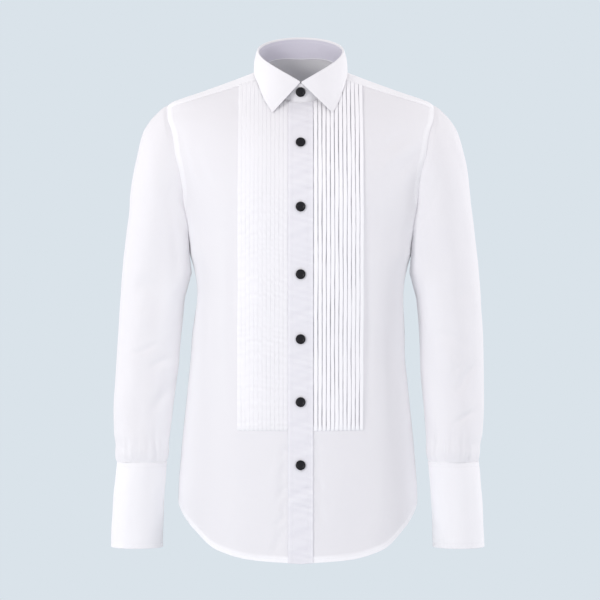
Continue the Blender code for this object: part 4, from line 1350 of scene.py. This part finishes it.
def yoke_patches():
    columns, rows, back_rows, neck_columns = 42, 64, 46, 46
    arm_back = back_armhole_angle(YOKE_BACK_Z)
    arm = to_shoulder(armhole(spread(arm_back, YOKE_ARMHOLE_ANGLE, rows)))
    seam_x = spread(armhole(YOKE_ARMHOLE_ANGLE)[0], neckline(YOKE_NECK_ANGLE, NECK_LIP)[0], columns)
    seam = to_shoulder(front_at(seam_x, yoke_front_z(seam_x)))
    beside = spread(YOKE_SPLIT_ANGLE, YOKE_NECK_ANGLE, rows - back_rows)
    beside = to_shoulder(neckline(beside, NECK_LIP))
    back_x = spread(armhole(arm_back)[0], YOKE_SPLIT_X, columns)
    bottom = to_shoulder(back_at(back_x, YOKE_BACK_Z))
    climb = 1 - (1 - spread(0, 1, back_rows)) ** 1.4
    split = bottom[-1] + (beside[0] - bottom[-1]) * climb[:, None]
    seam[0], bottom[0] = arm[-1], arm[0]
    inner = np.concatenate([split[:-1], beside])
    inner[-1] = seam[-1]
    shoulder = coons(bottom, seam, arm, inner)
    behind = spread(YOKE_SPLIT_ANGLE, 2 * math.pi - YOKE_SPLIT_ANGLE, neck_columns)
    neck = to_shoulder(neckline(behind, NECK_LIP))
    middle_x = spread(YOKE_SPLIT_X, -YOKE_SPLIT_X, neck_columns)
    low = to_shoulder(back_at(middle_x, YOKE_BACK_Z))
    flip = np.array([-1.0, 1.0])
    neck[-1], low[-1] = neck[0] * flip, low[0] * flip
    middle = coons(low, neck, split, split * flip, vs=climb)
    return [over_shoulder(grid[..., 0], grid[..., 1]) for grid in (shoulder, middle)]


# distances from a seam over which its strip ends, and the rise and the tone over what lies under it
YOKE_STRIP = (0.0072, 0.0085)
YOKE_FOLD = 0.0078
YOKE_LAYERS = 0.9
YOKE_OVER_BIB = 0.0007
YOKE_BIB_REACH = 0.0075
BIB_ENDS = (0.0860, 0.0900)


def yoke_heights(grid, lines):
    """Strips at the yoke's seams, and where it is doubled; lines are the seams on the +X side."""
    mirror_image = grid * TURNED_OVER
    to_arm, to_seam, to_back = [
        np.minimum(distance_to_line(grid, line), distance_to_line(mirror_image, line)) for line in lines
    ]
    height = strip(to_arm, ARMHOLE_STRIP)
    for distance in (to_seam, to_back):
        height = np.maximum(height, STRIP_RISE * (1 - smooth(*YOKE_STRIP, distance)))
    over_bib = (1 - smooth(*BIB_ENDS, np.abs(grid[..., 0]))) * hump(to_seam, 0.0, YOKE_BIB_REACH)
    layers_and_painted_light = np.maximum(folded(to_arm, ARMHOLE_STRIP), folded(to_seam, YOKE_FOLD))
    return height + YOKE_OVER_BIB * over_bib, np.maximum(layers_and_painted_light, YOKE_LAYERS)


def make_yoke():
    seams = yoke_lines()
    shoulder, middle = yoke_patches()
    grids, layers_and_painted_light = [], []
    for grid in (shoulder, middle, mirrored(shoulder)):
        heights, layer_and_painted_light_tone = yoke_heights(grid, seams)
        grids.append(lifted(grid, heights))
        layers_and_painted_light.append(layer_and_painted_light_tone.reshape(-1))
    faces, first = [], 0
    for grid in grids:
        faces.append(quads(*grid.shape[:2], False) + first)
        first += grid[..., 0].size
    points, faces = np.concatenate([grid.reshape(-1, 3) for grid in grids]), np.concatenate(faces)
    piece = mesh_object("yoke", points, faces, points[faces][..., :2], poplin, np.concatenate(layers_and_painted_light))
    piece.modifiers.new("shared edges", "WELD").merge_threshold = 0.00002
    wall = piece.modifiers.new("wall", "SOLIDIFY")
    wall.thickness = CLOTH
    wall.offset = -1.0
    made = bpy.data.meshes.new_from_object(piece.evaluated_get(bpy.context.evaluated_depsgraph_get()))
    piece.modifiers.clear()
    piece.data = made
    made.shade_smooth()
    made.set_sharp_from_angle(angle=math.radians(SHARP_ANGLE))
    lines = []
    for grid, arm in ((grids[0], "first_column"), (grids[2], "last_column")):
        lines += sewn_rows(
            grid,
            ("last_row", EDGE_STITCH, slice(2, -1)),
            ("last_row", 0.0066, slice(2, -3)),
            ("first_row", EDGE_STITCH),
            (arm, ARMHOLE_STRIP - STRIP_STITCH, slice(3, -3)),
        )
    lines += sewn_rows(grids[1], ("first_row", EDGE_STITCH))
    declare(piece, "yoke", lines)


# --- sleeves and cuffs
SLEEVE_COLUMNS = 112
SLEEVE_ROWS = 176
HEAD_ROWS = 6
# the power of the curve that the upper rings' inner side follows, and the heights where that begins
CORNERS = 2.9
SQUARE_ABOVE = (-0.42, -0.31)
# the strip over the slit: places across it, and the sleeve's columns that it may reach on either side
PLACKET_COLUMNS_MM = (-12.5, -11.9, -11.1, -9, -6, -3, 0, 3, 6, 9, 11.1, 11.9, 12.5)
PLACKET_REACH = 8
SLIT_END_STITCH = 0.0240
BACK_CREASES_SHIFT = 0.009
SLEEVE_SOFT = 0.0007
# waves round the sleeve where it is gathered into its cuff, and the fuller part above them
GATHERS = (9, 13, 17, 22)
GATHER_HEIGHT = 0.00046
GATHER_REACH = 0.024
BLOUSE_HEIGHT = 0.0016
SCALLOP_HEIGHT = 0.00038
CUFF_SLIT = 0.0004
# where the cuff's inner side gets painted light, over its doubled cloth's tone
CUFF_INNER_LIGHT = (0.30, 0.90)
CUFF_CORNER = 0.009
CUFF_CORNER_RISE = 0.0035


def ring_curves(table):
    """Every ring measure as a function of the run along the middle, and the length of the run."""
    rows = np.array(table)
    run = walked(join((rows[:, 0] + rows[:, 2]) / 2, rows[:, 5], (rows[:, 1] + rows[:, 3]) / 2))
    return [curve_through(run, rows[:, k]) for k in range(6)], run[-1]


def ring_points(curves, angles, runs, square=0.0):
    """Points of rings; square fills out the corners of the side next to the body."""
    outer_x, outer_z, inner_x, inner_z, half, centre_y = [curve(runs) for curve in curves]
    cosine, sine = np.cos(angles)[:, None], np.sin(angles)[:, None]
    inner_half = smooth(0.1, -0.5, cosine) * square
    full = (np.abs(cosine) ** CORNERS + np.abs(sine) ** CORNERS) ** (-1 / CORNERS)
    swell = (1 + (full - 1) * inner_half)[..., None]
    middle = join((outer_x + inner_x) / 2, centre_y, (outer_z + inner_z) / 2)
    across = join((outer_x - inner_x) / 2, 0.0, (outer_z - inner_z) / 2)
    return middle + swell * (cosine[..., None] * across + sine[..., None] * join(0.0, -half, 0.0))


def seam_edge(seam, normals, towards, gap):
    along = np.roll(seam, -1, 0) - np.roll(seam, 1, 0)
    outward = unit(np.cross(normals, along))
    outward *= np.sign(np.sum(outward * towards, -1).sum())
    start = unit(towards)
    half_bend = np.arccos(np.clip(np.sum(outward * start, -1), -1, 1)) / 2
    cosine, sine = np.cos(half_bend)[:, None], np.sin(half_bend)[:, None]
    return seam + gap * (outward * cosine + normals * sine), outward


def towards_body(tube, inward):
    """How far the sleeve's inner side moves over to lie just clear of the body's side."""
    y, z = tube[..., 1], tube[..., 2]
    side = side_at(y, z)[..., 0] + side_fullness(y, z)
    clear = SLEEVE_CLEAR + SLEEVE_CLEAR_LOW * smooth(*FULL_BOTTOM[::-1], z)
    clear = clear + SLEEVE_CLEAR_BEHIND * smooth(*CLEAR_BEHIND, y) * smooth(*BEHIND_TOP, z)
    spare = np.clip(tube[..., 0] - side - clear, SLEEVE_PUSH, SLEEVE_PULL)
    behind = smooth(*BEHIND, y) * smooth(*BEHIND_TOP, z)
    pull = np.minimum(spare, SLEEVE_PULL * (1 - behind)) * smooth(*PULL_INWARD, inward)
    dent = SLEEVE_DENT * smooth(*DENT_BEHIND, y) * smooth(*DRAWN_TOP, z) * smooth(*DENT_INWARD, inward)
    return pull * smooth(*PULL_BOTTOM, z) - dent * smooth(*DENT_BOTTOM, z)


def sleeve_form():
    """The smooth +X sleeve without folds: tucked edge, seam edge, sleeve head, then the tube."""
    curves, end = ring_curves(SLEEVE)
    angles = spread(0, 2 * math.pi, SLEEVE_COLUMNS)[:-1]
    runs = end * spread(0, 1, SLEEVE_ROWS) ** 0.93
    tube = ring_points(curves, angles, runs, smooth(*SQUARE_ABOVE, curves[3](runs)))
    tube[..., 0] -= towards_body(tube, -np.cos(angles)[:, None])
    seam = armhole(np.where(angles > math.pi, angles - 2 * math.pi, angles))
    normals = body_normal(seam)
    edge, outward = seam_edge(seam, normals, tube[:, 0] - seam, 0.00042)
    tucked = seam - outward * TUCK - normals * TUCK_SINK
    gap = np.linalg.norm(tube[:, 0] - edge, axis=1, keepdims=True)
    leave = (tube[:, 0] - edge) * 1.1
    arrive = unit(tube[:, 1] - tube[:, 0]) * gap
    head = [hermite(t, edge, tube[:, 0], leave, arrive) for t in spread(0, 1, HEAD_ROWS)[1:-1]]
    return np.concatenate([np.stack([tucked, edge] + head, 1), tube], 1), angles


def sleeve_heights(grid, normals, angles, side):
    """Folds of a sleeve; the grid is always the +X one, and side says which arm it is for."""
    x, y, z = np.moveaxis(grid, -1, 0)
    front = smooth(-0.25, 0.25, -normals[..., 1])
    own = LEFT_SLEEVE_CREASES if side > 0 else RIGHT_SLEEVE_CREASES
    heights = crease_heights(own, x * side, z) * front
    shift = 0.0 if side > 0 else BACK_CREASES_SHIFT
    heights = heights + crease_heights(SLEEVE_BACK_CREASES, x + shift / 2, z + shift) * (1 - front)
    turn = angles[:, None]
    seed = 50 if side > 0 else 60
    heights = heights + SLEEVE_SOFT * unevenness(turn * 0.05, z * 0.6, 0.060, seed)
    above_cuff = z - CUFF[0][1]
    dice = np.random.default_rng(seed)
    waves = np.zeros(z.shape)
    for number in GATHERS:
        waves = waves + np.sin(number * turn + dice.uniform(0, 6.28) + above_cuff * dice.uniform(-30, 30))
    near = hump(above_cuff, 0.0, GATHER_REACH) * smooth(0.0, 0.004, above_cuff)
    heights = heights + GATHER_HEIGHT * waves * near * (1 - 0.4 * front)
    scallops = ripple(turn, 0.13, seed + 7) * hump(above_cuff, 0.0065, 0.0038)
    blouse = hump(above_cuff, 0.015, 0.011)
    pinch = hump(above_cuff, 0.001, 0.0030)
    heights = heights + BLOUSE_HEIGHT * blouse - 0.0004 * pinch + SCALLOP_HEIGHT * scallops
    row = np.arange(z.shape[1])[None]
    cap = hump(row, 9, 7.0) * smooth(1, 5, row)
    return heights * smooth(2, HEAD_ROWS + 14, row) + 0.00025 * cap * ripple(turn, 0.24, seed + 3)


def arm_name(kind, side):
    return kind + ("_left" if side > 0 else "_right")


def make_sleeve(side):
    form, angles = sleeve_form()
    normals = grid_normals(form, True)
    heights = sleeve_heights(form, normals, angles, side)
    grid = form + normals * heights[..., None]
    inward = -np.cos(angles)[:, None]
    # painted light on the sleeve's inner side, which lightens the shade against the body
    layers_and_painted_light = SLEEVE_INNER_PAINTED_LIGHT[side] * smooth(*PAINTED_LIGHT_INWARD, inward) * smooth(*PAINTED_LIGHT_TOP, form[..., 2])
    placket = for_side(side, sleeve_placket(form, normals, heights))[0]
    grid, layers_and_painted_light = for_side(side, grid, layers_and_painted_light)
    for part in (grid, placket):
        part[..., 0] += lean(part[..., 2], SLEEVE_LEANS)
    name = arm_name("sleeve", side)
    declare(shell(name, grid, poplin, closed=True, layers_and_painted_light=layers_and_painted_light), name)
    lines = sewn_rows(
        placket,
        *both_sides(EDGE_STITCH),
        ("first_row", EDGE_STITCH),
        ("first_row", SLIT_END_STITCH, slice(2, -2)),
    )
    strip_name = arm_name("sleeve_placket", side)
    piece = shell(strip_name, placket, crisp)
    declare(piece, strip_name, lines)


def sleeve_placket(form, normals, heights):
    """A strip on the +X sleeve over its slit, on the sleeve's own folded surface."""
    centre = int(round((SLIT_ANGLE % (2 * math.pi)) / (2 * math.pi) * SLEEVE_COLUMNS))
    first = int(np.argmin(np.abs(form[centre, :, 2] - SLEEVE_PLACKET_TOP_Z)))
    around, normals, heights = [
        np.roll(values, PLACKET_REACH - centre, axis=0)[: 2 * PLACKET_REACH + 1, first:]
        for values in (form, normals, heights[..., None])
    ]
    walk = from_edge(around, "first_column")
    columns = []
    for offset in np.array(PLACKET_COLUMNS_MM) * MM:
        column = []
        for j in range(around.shape[1]):
            at = walk[PLACKET_REACH, j] + offset
            point, normal, height = [
                np.array([np.interp(at, walk[:, j], values[:, j, k]) for k in range(values.shape[2])])
                for values in (around, normals, heights)
            ]
            column.append(point + unit(normal) * (height + 0.00075))
        columns.append(column)
    return np.array(columns)


def make_cuff(side):
    curves, end = ring_curves(CUFF)
    half = CUFF_SLIT / CUFF[1][4]
    shares = np.concatenate([[0, 0.003, 0.008, 0.018, 0.026, 0.034], np.linspace(0.045, 0.955, 90)])
    shares = np.concatenate([shares, [0.966, 0.974, 0.982, 0.992, 0.997, 1.0]])
    angles = SLIT_ANGLE + half + (2 * math.pi - 2 * half) * shares
    downs = np.array([0, 0.7, 1.8, 3.6, 4.8, 6.0, 7.2, 9.0])
    middles = np.linspace(12.0, end / MM - 12.0, 34)
    runs = np.concatenate([downs, middles, end / MM - downs[::-1]]) * MM
    turn = angles[:, None]
    form = ring_points(curves, angles, runs)
    to_rim = np.minimum(runs, end - runs)[None]
    to_slit = from_sides(form)
    groove = hump(to_rim, TOP_STITCH, GROOVE_WIDTH) + hump(to_slit, TOP_STITCH, GROOVE_WIDTH)
    seed = 70 if side > 0 else 75
    height = -GROOVE_DEPTH * groove + 0.0005 * unevenness(turn * 0.04, form[..., 2], 0.060, seed)
    height = height + 0.00022 * (ripple(turn, 0.22, seed + 1) * np.exp(-to_rim / 0.008))
    corner = [np.clip(1 - gap / CUFF_CORNER, 0, 1) for gap in (to_slit, end - runs[None])]
    outer = form + grid_normals(form) * height[..., None]
    outer[..., 2] += CUFF_CORNER_RISE * (corner[0] * corner[1]) ** 1.5
    # doubled cloth's tone, with painted light on the side towards the body
    outer, layers_and_inner_light = for_side(side, outer, 0.5 + 0.5 * smooth(*CUFF_INNER_LIGHT, -np.cos(turn)))
    outer[..., 0] += lean(outer[..., 2], SLEEVE_LEANS)
    rows = [(edge, TOP_STITCH, slice(5, -5)) for edge in ("first_row", "last_row", *SIDES)]
    lines = sewn_rows(outer, *rows, ("first_row", STRIP_STITCH, slice(1, -1)))
    name = arm_name("cuff", side)
    piece = shell(name, outer, crisp, CUFF_CLOTH, sharp=42, layers_and_painted_light=layers_and_inner_light)
    declare(piece, name, lines)


# --- collar
def stand_top(angle, lap=0.0):
    sine, cosine = np.sin(angle), np.cos(angle)
    x = (STAND_TOP_HALF_WIDTH + lap) * sine
    y = STAND_TOP_CENTRE_Y - (STAND_TOP_HALF_DEPTH + lap) * cosine
    v_shape = STAND_V_SHARE * np.abs(sine) + (1 - STAND_V_SHARE) * (1 - cosine) ** 2
    front = STAND_TOP_FRONT_Z + (STAND_TOP_SIDE_Z - STAND_TOP_FRONT_Z) * v_shape
    back = STAND_TOP_SIDE_Z - (STAND_TOP_BACK_Z - STAND_TOP_SIDE_Z) * cosine
    return join(x, y, np.where(cosine > 0, front, back))


def lap_offset(around):
    """How far the stand's ends move out or in where they lap at the front."""
    return -np.sign(around) * STAND_LAP * smooth(STAND_LAP_NONE, STAND_LAP_FULL, np.abs(around))


STAND_SHARES = (0, 0.02, 0.04, 0.07, 0.12, 0.2, 0.3, 0.4, 0.5, 0.6, 0.7, 0.8, 0.88, 0.93, 0.96, 0.98, 1.0)
STAND_STITCH = 0.0016


def make_stand():
    under, over = spread(STAND_UNDER_END, math.pi, 12), spread(-math.pi, -STAND_OVER_END, 14)
    around = np.concatenate([under[:-1], spread(math.pi, -math.pi, 190), over[1:]])
    angle = math.pi + around
    lap = lap_offset(around)
    seam = neckline(angle)
    top = stand_top(angle, lap)
    from_centre = seam - np.array([0.0, NECK_CENTRE_Y, 0.0])
    inward = unit(np.cross(body_normal(seam), np.gradient(seam, axis=0)))
    inward *= -np.sign(np.sum(inward * from_centre, -1).sum())
    outward = unit(from_centre) * np.array([1.0, 1.0, 0.0])
    base = seam + 2.2 * SEAM * unit(inward + unit(top - seam)) + outward * lap[:, None]
    past = (np.abs(around) - math.pi) / STAND_CORNER
    rounded = np.clip(past - STAND_CORNER_START, 0, 1)[:, None]
    rise = (top - base) * (1 - STAND_CORNER_DROP * rounded**2)
    outer = np.stack([base + rise * share for share in STAND_SHARES], 1)[::-1]
    normals = grid_normals(outer)
    groove = hump(from_edge(outer, "first_row"), STAND_STITCH, 0.0006)
    outer = outer - normals * (0.00012 * groove)[..., None]
    # the inner face takes the copy of the cotton with painted shade
    piece = shell("collar_stand", outer, crisp, STAND_CLOTH, inner_look=inside_shaded_cotton)
    inner = (outer - normals * STAND_CLOTH)[::-1]
    lines = [inset_line(outer, normals, "first_row", STAND_STITCH)]
    lines += sewn_rows(inner, ("first_row", STAND_STITCH), ("last_row", 0.0040, slice(8, -8)))
    declare(piece, "collar_stand", lines)


def make_leaf():
    around = (math.pi - LEAF_START_ANGLE) * np.sin(spread(math.pi / 2, -math.pi / 2, 200) * 0.999)
    angle = math.pi + around
    lap = lap_offset(around)
    root = stand_top(angle, lap - SOLID_WALL / 2)
    out = join(np.sin(angle), -np.cos(angle), 0.0)
    up = np.array([0.0, 0.0, 1.0])
    over_side = np.clip(lap / -STAND_LAP, 0, 1)
    radius = (LEAF_FOLD_RADIUS + LEAF_FOLD_EXTRA * over_side)[:, None]
    rows = [root + up * LEAF_ROOT_GAP]
    for bend in np.radians(np.linspace(180, 0, 13)):
        rise = LEAF_ROOT_GAP + LEAF_FOLD_RISE + radius * math.sin(bend)
        rows.append(root + out * radius * (1 + math.cos(bend)) + up * rise)
    angles, xs, ys, lifts = zip(*LEAF_EDGE)
    x_at, y_at, lift_at = [curve_through(np.radians(angles), values) for values in (xs, ys, lifts)]
    from_front = np.pi - np.abs(around)
    side = np.where(around > 0, -1.0, 1.0)
    x = side * x_at(from_front) + LEAF_TIP_SHIFT * np.cos(from_front / 2) ** LEAF_TIP_POWER
    y = y_at(from_front)
    edge = join(x, y, shoulder_height(np.abs(x), y) + lift_at(from_front))
    fold = rows[-1]
    shares = np.concatenate([np.linspace(0, 0.76, 22)[1:], [0.80, 0.83, 0.86, 0.89, 0.93, 0.96, 0.985, 1.0]])
    for share in shares:
        rows.append(fold + (edge - fold) * share + out * LEAF_BULGE * 4 * share * (1 - share))
    middle = np.stack(rows, 1)
    normals = grid_normals(middle)
    fall = from_edge(middle, "last_row")
    ends = from_sides(middle)
    row = np.arange(middle.shape[1])[None]
    groove = hump(fall, TOP_STITCH, GROOVE_WIDTH) + hump(ends, TOP_STITCH, GROOVE_WIDTH)
    dent = -GROOVE_DEPTH * groove * (row > LEAF_FOLD_ROWS) * (fall > 0.004)
    soft = 0.00035 * unevenness(angle[:, None] * 0.06, fall, 0.045, 91) * smooth(14, 24, row)
    outer = middle + normals * (LEAF_CLOTH / 2 + dent + soft)[..., None]
    inner = middle + normals * (-LEAF_CLOTH / 2 + soft)[..., None]
    piece = shell("collar_leaf", outer, crisp, inner=inner, sharp=45, layers_and_painted_light=LEAF_LAYERS)
    below_fold = both_sides(TOP_STITCH, slice(LEAF_FOLD_ROWS, -6))
    lines = sewn_rows(outer, ("last_row", TOP_STITCH, slice(8, -8)), *below_fold)
    declare(piece, "collar_leaf", lines)


# --- buttons and buttonholes
# radius and height of the button's turned profile, in mm
BUTTON_PROFILE = (
    (0.0, 2.2), (1.6, 2.2), (3.4, 2.24), (4.2, 2.36), (4.8, 2.62),
    (5.4, 2.78), (6.0, 2.78), (6.5, 2.62), (6.85, 2.32), (7.0, 1.9),
    (7.0, 1.1), (6.85, 0.6), (6.4, 0.22), (5.6, 0.02), (0.0, 0.0),
)
BUTTON_SIDES = 48
BUTTONHOLE_LENGTH = 0.0185
BUTTONHOLE_RADIUS = 0.0011
# the satin stitches' pitch, half width and half length, and their height
SATIN_PITCH = 0.00055
SATIN_THREAD = 0.00023
SATIN_REACH = 0.0008
SATIN_RISE = 0.00022


def make_button(number, seat, normal):
    rings = BUTTON_PROFILE[1:-1]
    points = [(0.0, 0.0, BUTTON_PROFILE[0][1] * MM)]
    for radius, height in rings:
        points += circle(radius * MM, height * MM, BUTTON_SIDES)
    points.append((0.0, 0.0, 0.0))
    turned = Vector(normal).to_track_quat("Z", "Y").to_matrix()
    placed = [tuple(turned @ Vector(p) + Vector(seat)) for p in points]
    piece = rings_object(f"button_{number}_turned", placed, BUTTON_SIDES, len(rings), True, polished)
    piece.data.shade_smooth()
    piece.data.set_sharp_from_angle(angle=math.radians(50))
    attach(piece, "root")
    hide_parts(f"button_{number}")


def buttonhole_line(seat, normal, upright):
    """A long ring of satin stitches round the slit under a button."""
    normal = unit(np.asarray(normal, float))
    sideways = unit(np.cross(upright, normal))
    half = BUTTONHOLE_LENGTH / 2 - BUTTONHOLE_RADIUS
    angles = spread(0, 2 * math.pi, 40)
    along = np.sin(angles) * BUTTONHOLE_RADIUS + np.sign(np.sin(angles)) * half
    line = seat + along[:, None] * upright + (np.cos(angles) * BUTTONHOLE_RADIUS)[:, None] * sideways
    return line, np.broadcast_to(normal, line.shape).copy()


def make_buttons():
    top = stand_top(0.0, STAND_LAP)
    base = neckline(0.0)
    share = (STAND_BUTTON_Z - base[2]) / (top[2] - base[2])
    seat = base + (top - base) * share
    normal = unit(np.cross(top - base, [-1.0, 0.0, 0.0]))
    make_button(1, seat + normal * (SEAM + STAND_LAP), normal)
    lines = [buttonhole_line(seat + normal * (STAND_LAP + 0.00005), normal, np.array([1.0, 0.0, 0.0]))]
    for number, z in enumerate(PLACKET_BUTTON_Z, 2):
        low, at, high = front_at(0.0, z + np.array([-BUTTON_RADIUS, 0.0, BUTTON_RADIUS]))
        normal = unit(np.array([0.0, -2 * BUTTON_RADIUS, high[1] - low[1]]))
        seat = at + normal * (SOLID_WALL + SOLID_LAID_ON + SEAM)
        make_button(number, seat, normal)
        lines.append(buttonhole_line(at + normal * (PLACKET_RISE + 0.00003), normal, unit(high - low)))
    points = []
    for line, up in lines:
        where, along, normal = resampled(line, up, SATIN_PITCH)
        side = unit(np.cross(normal, along))
        a, b = where - side * SATIN_REACH, where + side * SATIN_REACH
        w, h = along * SATIN_THREAD, normal * SATIN_RISE
        corners = [a - w, a + w, b + w, b - w, (a + b) / 2 - w + h, (a + b) / 2 + w + h]
        points.append(np.stack(corners, 1).reshape(-1, 3))
    points = np.concatenate(points)
    base = 6 * np.arange(len(points) // 6)[:, None, None]
    faces = (np.array([(0, 1, 5, 4), (4, 5, 2, 3)]) + base).reshape(-1, 4)
    trim(mesh_object("buttonholes", points, faces, points[faces][..., :2], thread))


# --- stage
FLOOR_SIDES = 96
FLOOR_RINGS = 12
FLOOR_RADIUS = 4.4
FLOOR_Z = -1.35
FLOOR_FADES = 0.45


def make_floor():
    """A plain pale floor well below the shirt, fading into the background at its edge."""
    points = [(0.0, 0.0, FLOOR_Z)]
    for ring in range(1, FLOOR_RINGS + 1):
        points += circle(FLOOR_RADIUS * ring / FLOOR_RINGS, FLOOR_Z, FLOOR_SIDES)
    made, tree, shader = new_material("floor_paint")
    level = {0: add(tree, "TexCoord")["Object"], 1: (1.0, 1.0, 0.0)}
    from_middle = {0: add(tree, "VectorMath", level, operation="MULTIPLY")[0]}
    distance = add(tree, "VectorMath", from_middle, operation="LENGTH")["Value"]
    alpha = ranged(tree, distance, 1.0, 0.0, FLOOR_RADIUS * FLOOR_FADES, FLOOR_RADIUS)
    feed(tree, shader, {"Base Color": rgba(FLOOR), "Roughness": 0.9, "Alpha": alpha})
    floor = rings_object("floor", points, FLOOR_SIDES, FLOOR_RINGS, False, made)


def area_light(name, place, target, size, power, colour):
    light = bpy.data.lights.new(name, "AREA")
    light.shape = "DISK"
    light.size = size
    light.energy = power
    light.color = colour
    lamp = in_scene(name, light)
    lamp.location = place
    lamp.rotation_euler = (Vector(target) - Vector(place)).to_track_quat("-Z", "Y").to_euler()
    lamp.visible_camera = False


WORLD_LIGHT = 0.86
WORLD_TOP = 0.80
# name, place, what it points at, width, power and colour
LAMPS = (
    ("key", (-2.3, -2.8, 0.35), (0.0, 0.0, -0.3), 1.0, 34.0, (1.0, 0.985, 0.975)),
    ("fill", (2.4, -3.0, 0.0), (0.0, 0.0, -0.3), 2.0, 11.0, (1.0, 0.985, 1.0)),
    ("rim_left", (-2.6, 0.7, 0.5), (-0.2, 0.0, -0.2), 0.9, 14.0, (1.0, 0.99, 0.99)),
    ("rim_right", (2.6, 0.7, 0.5), (0.2, 0.0, -0.2), 0.9, 22.0, (1.0, 0.99, 0.99)),
)


def make_light():
    """Soft light from all round, which the plain background doesn't show, and the lamps."""
    world = bpy.data.worlds.new("soft_studio")
    bpy.context.scene.world = world
    world.use_nodes = True
    tree = world.node_tree
    seen = feed(tree, tree.nodes["Background"], {"Color": rgba(BACKGROUND)}).outputs
    height = add(tree, "SeparateXYZ", {0: add(tree, "TexCoord")["Generated"]})["Z"]
    strength = ranged(tree, height, WORLD_LIGHT, WORLD_LIGHT * WORLD_TOP, -0.2, 1.0)
    around = add(tree, "Background", {"Color": rgba(WORLD), "Strength": strength})
    to_camera = add(tree, "LightPath")["Is Camera Ray"]
    both = add(tree, "MixShader", {0: to_camera, 1: around[0], 2: seen[0]})
    feed(tree, tree.nodes["World Output"], {"Surface": both[0]})
    for lamp in LAMPS:
        area_light(*lamp)


LENS = 165.5
CAMERA_PLACE = (-0.00087, -4.0, -0.3335)


def make_camera():
    lens = bpy.data.cameras.new("camera")
    lens.sensor_width = 36.0
    lens.lens = LENS
    camera = in_scene("camera", lens)
    camera.location = CAMERA_PLACE
    camera.rotation_euler = (math.pi / 2, 0.0, 0.0)
    bpy.context.scene.camera = camera


make_camera()
make_light()
make_floor()
make_front("front_left", np.array([FRONT_EDGE_X, 0.0154]), 1)
make_front("front_right", np.array([-UNDERLAP_X, -0.006, 0.0, 0.006, 0.0120]), -1)
make_placket()
make_bib("bib_left", 1, 200, 1.0)
make_bib("bib_right", -1, 400, 0.30)
make_back()
make_yoke()
for arm_side in (1, -1):
    make_sleeve(arm_side)
    make_cuff(arm_side)
make_stand()
make_leaf()
make_buttons()

bpy.context.scene.view_settings.view_transform = "Standard"
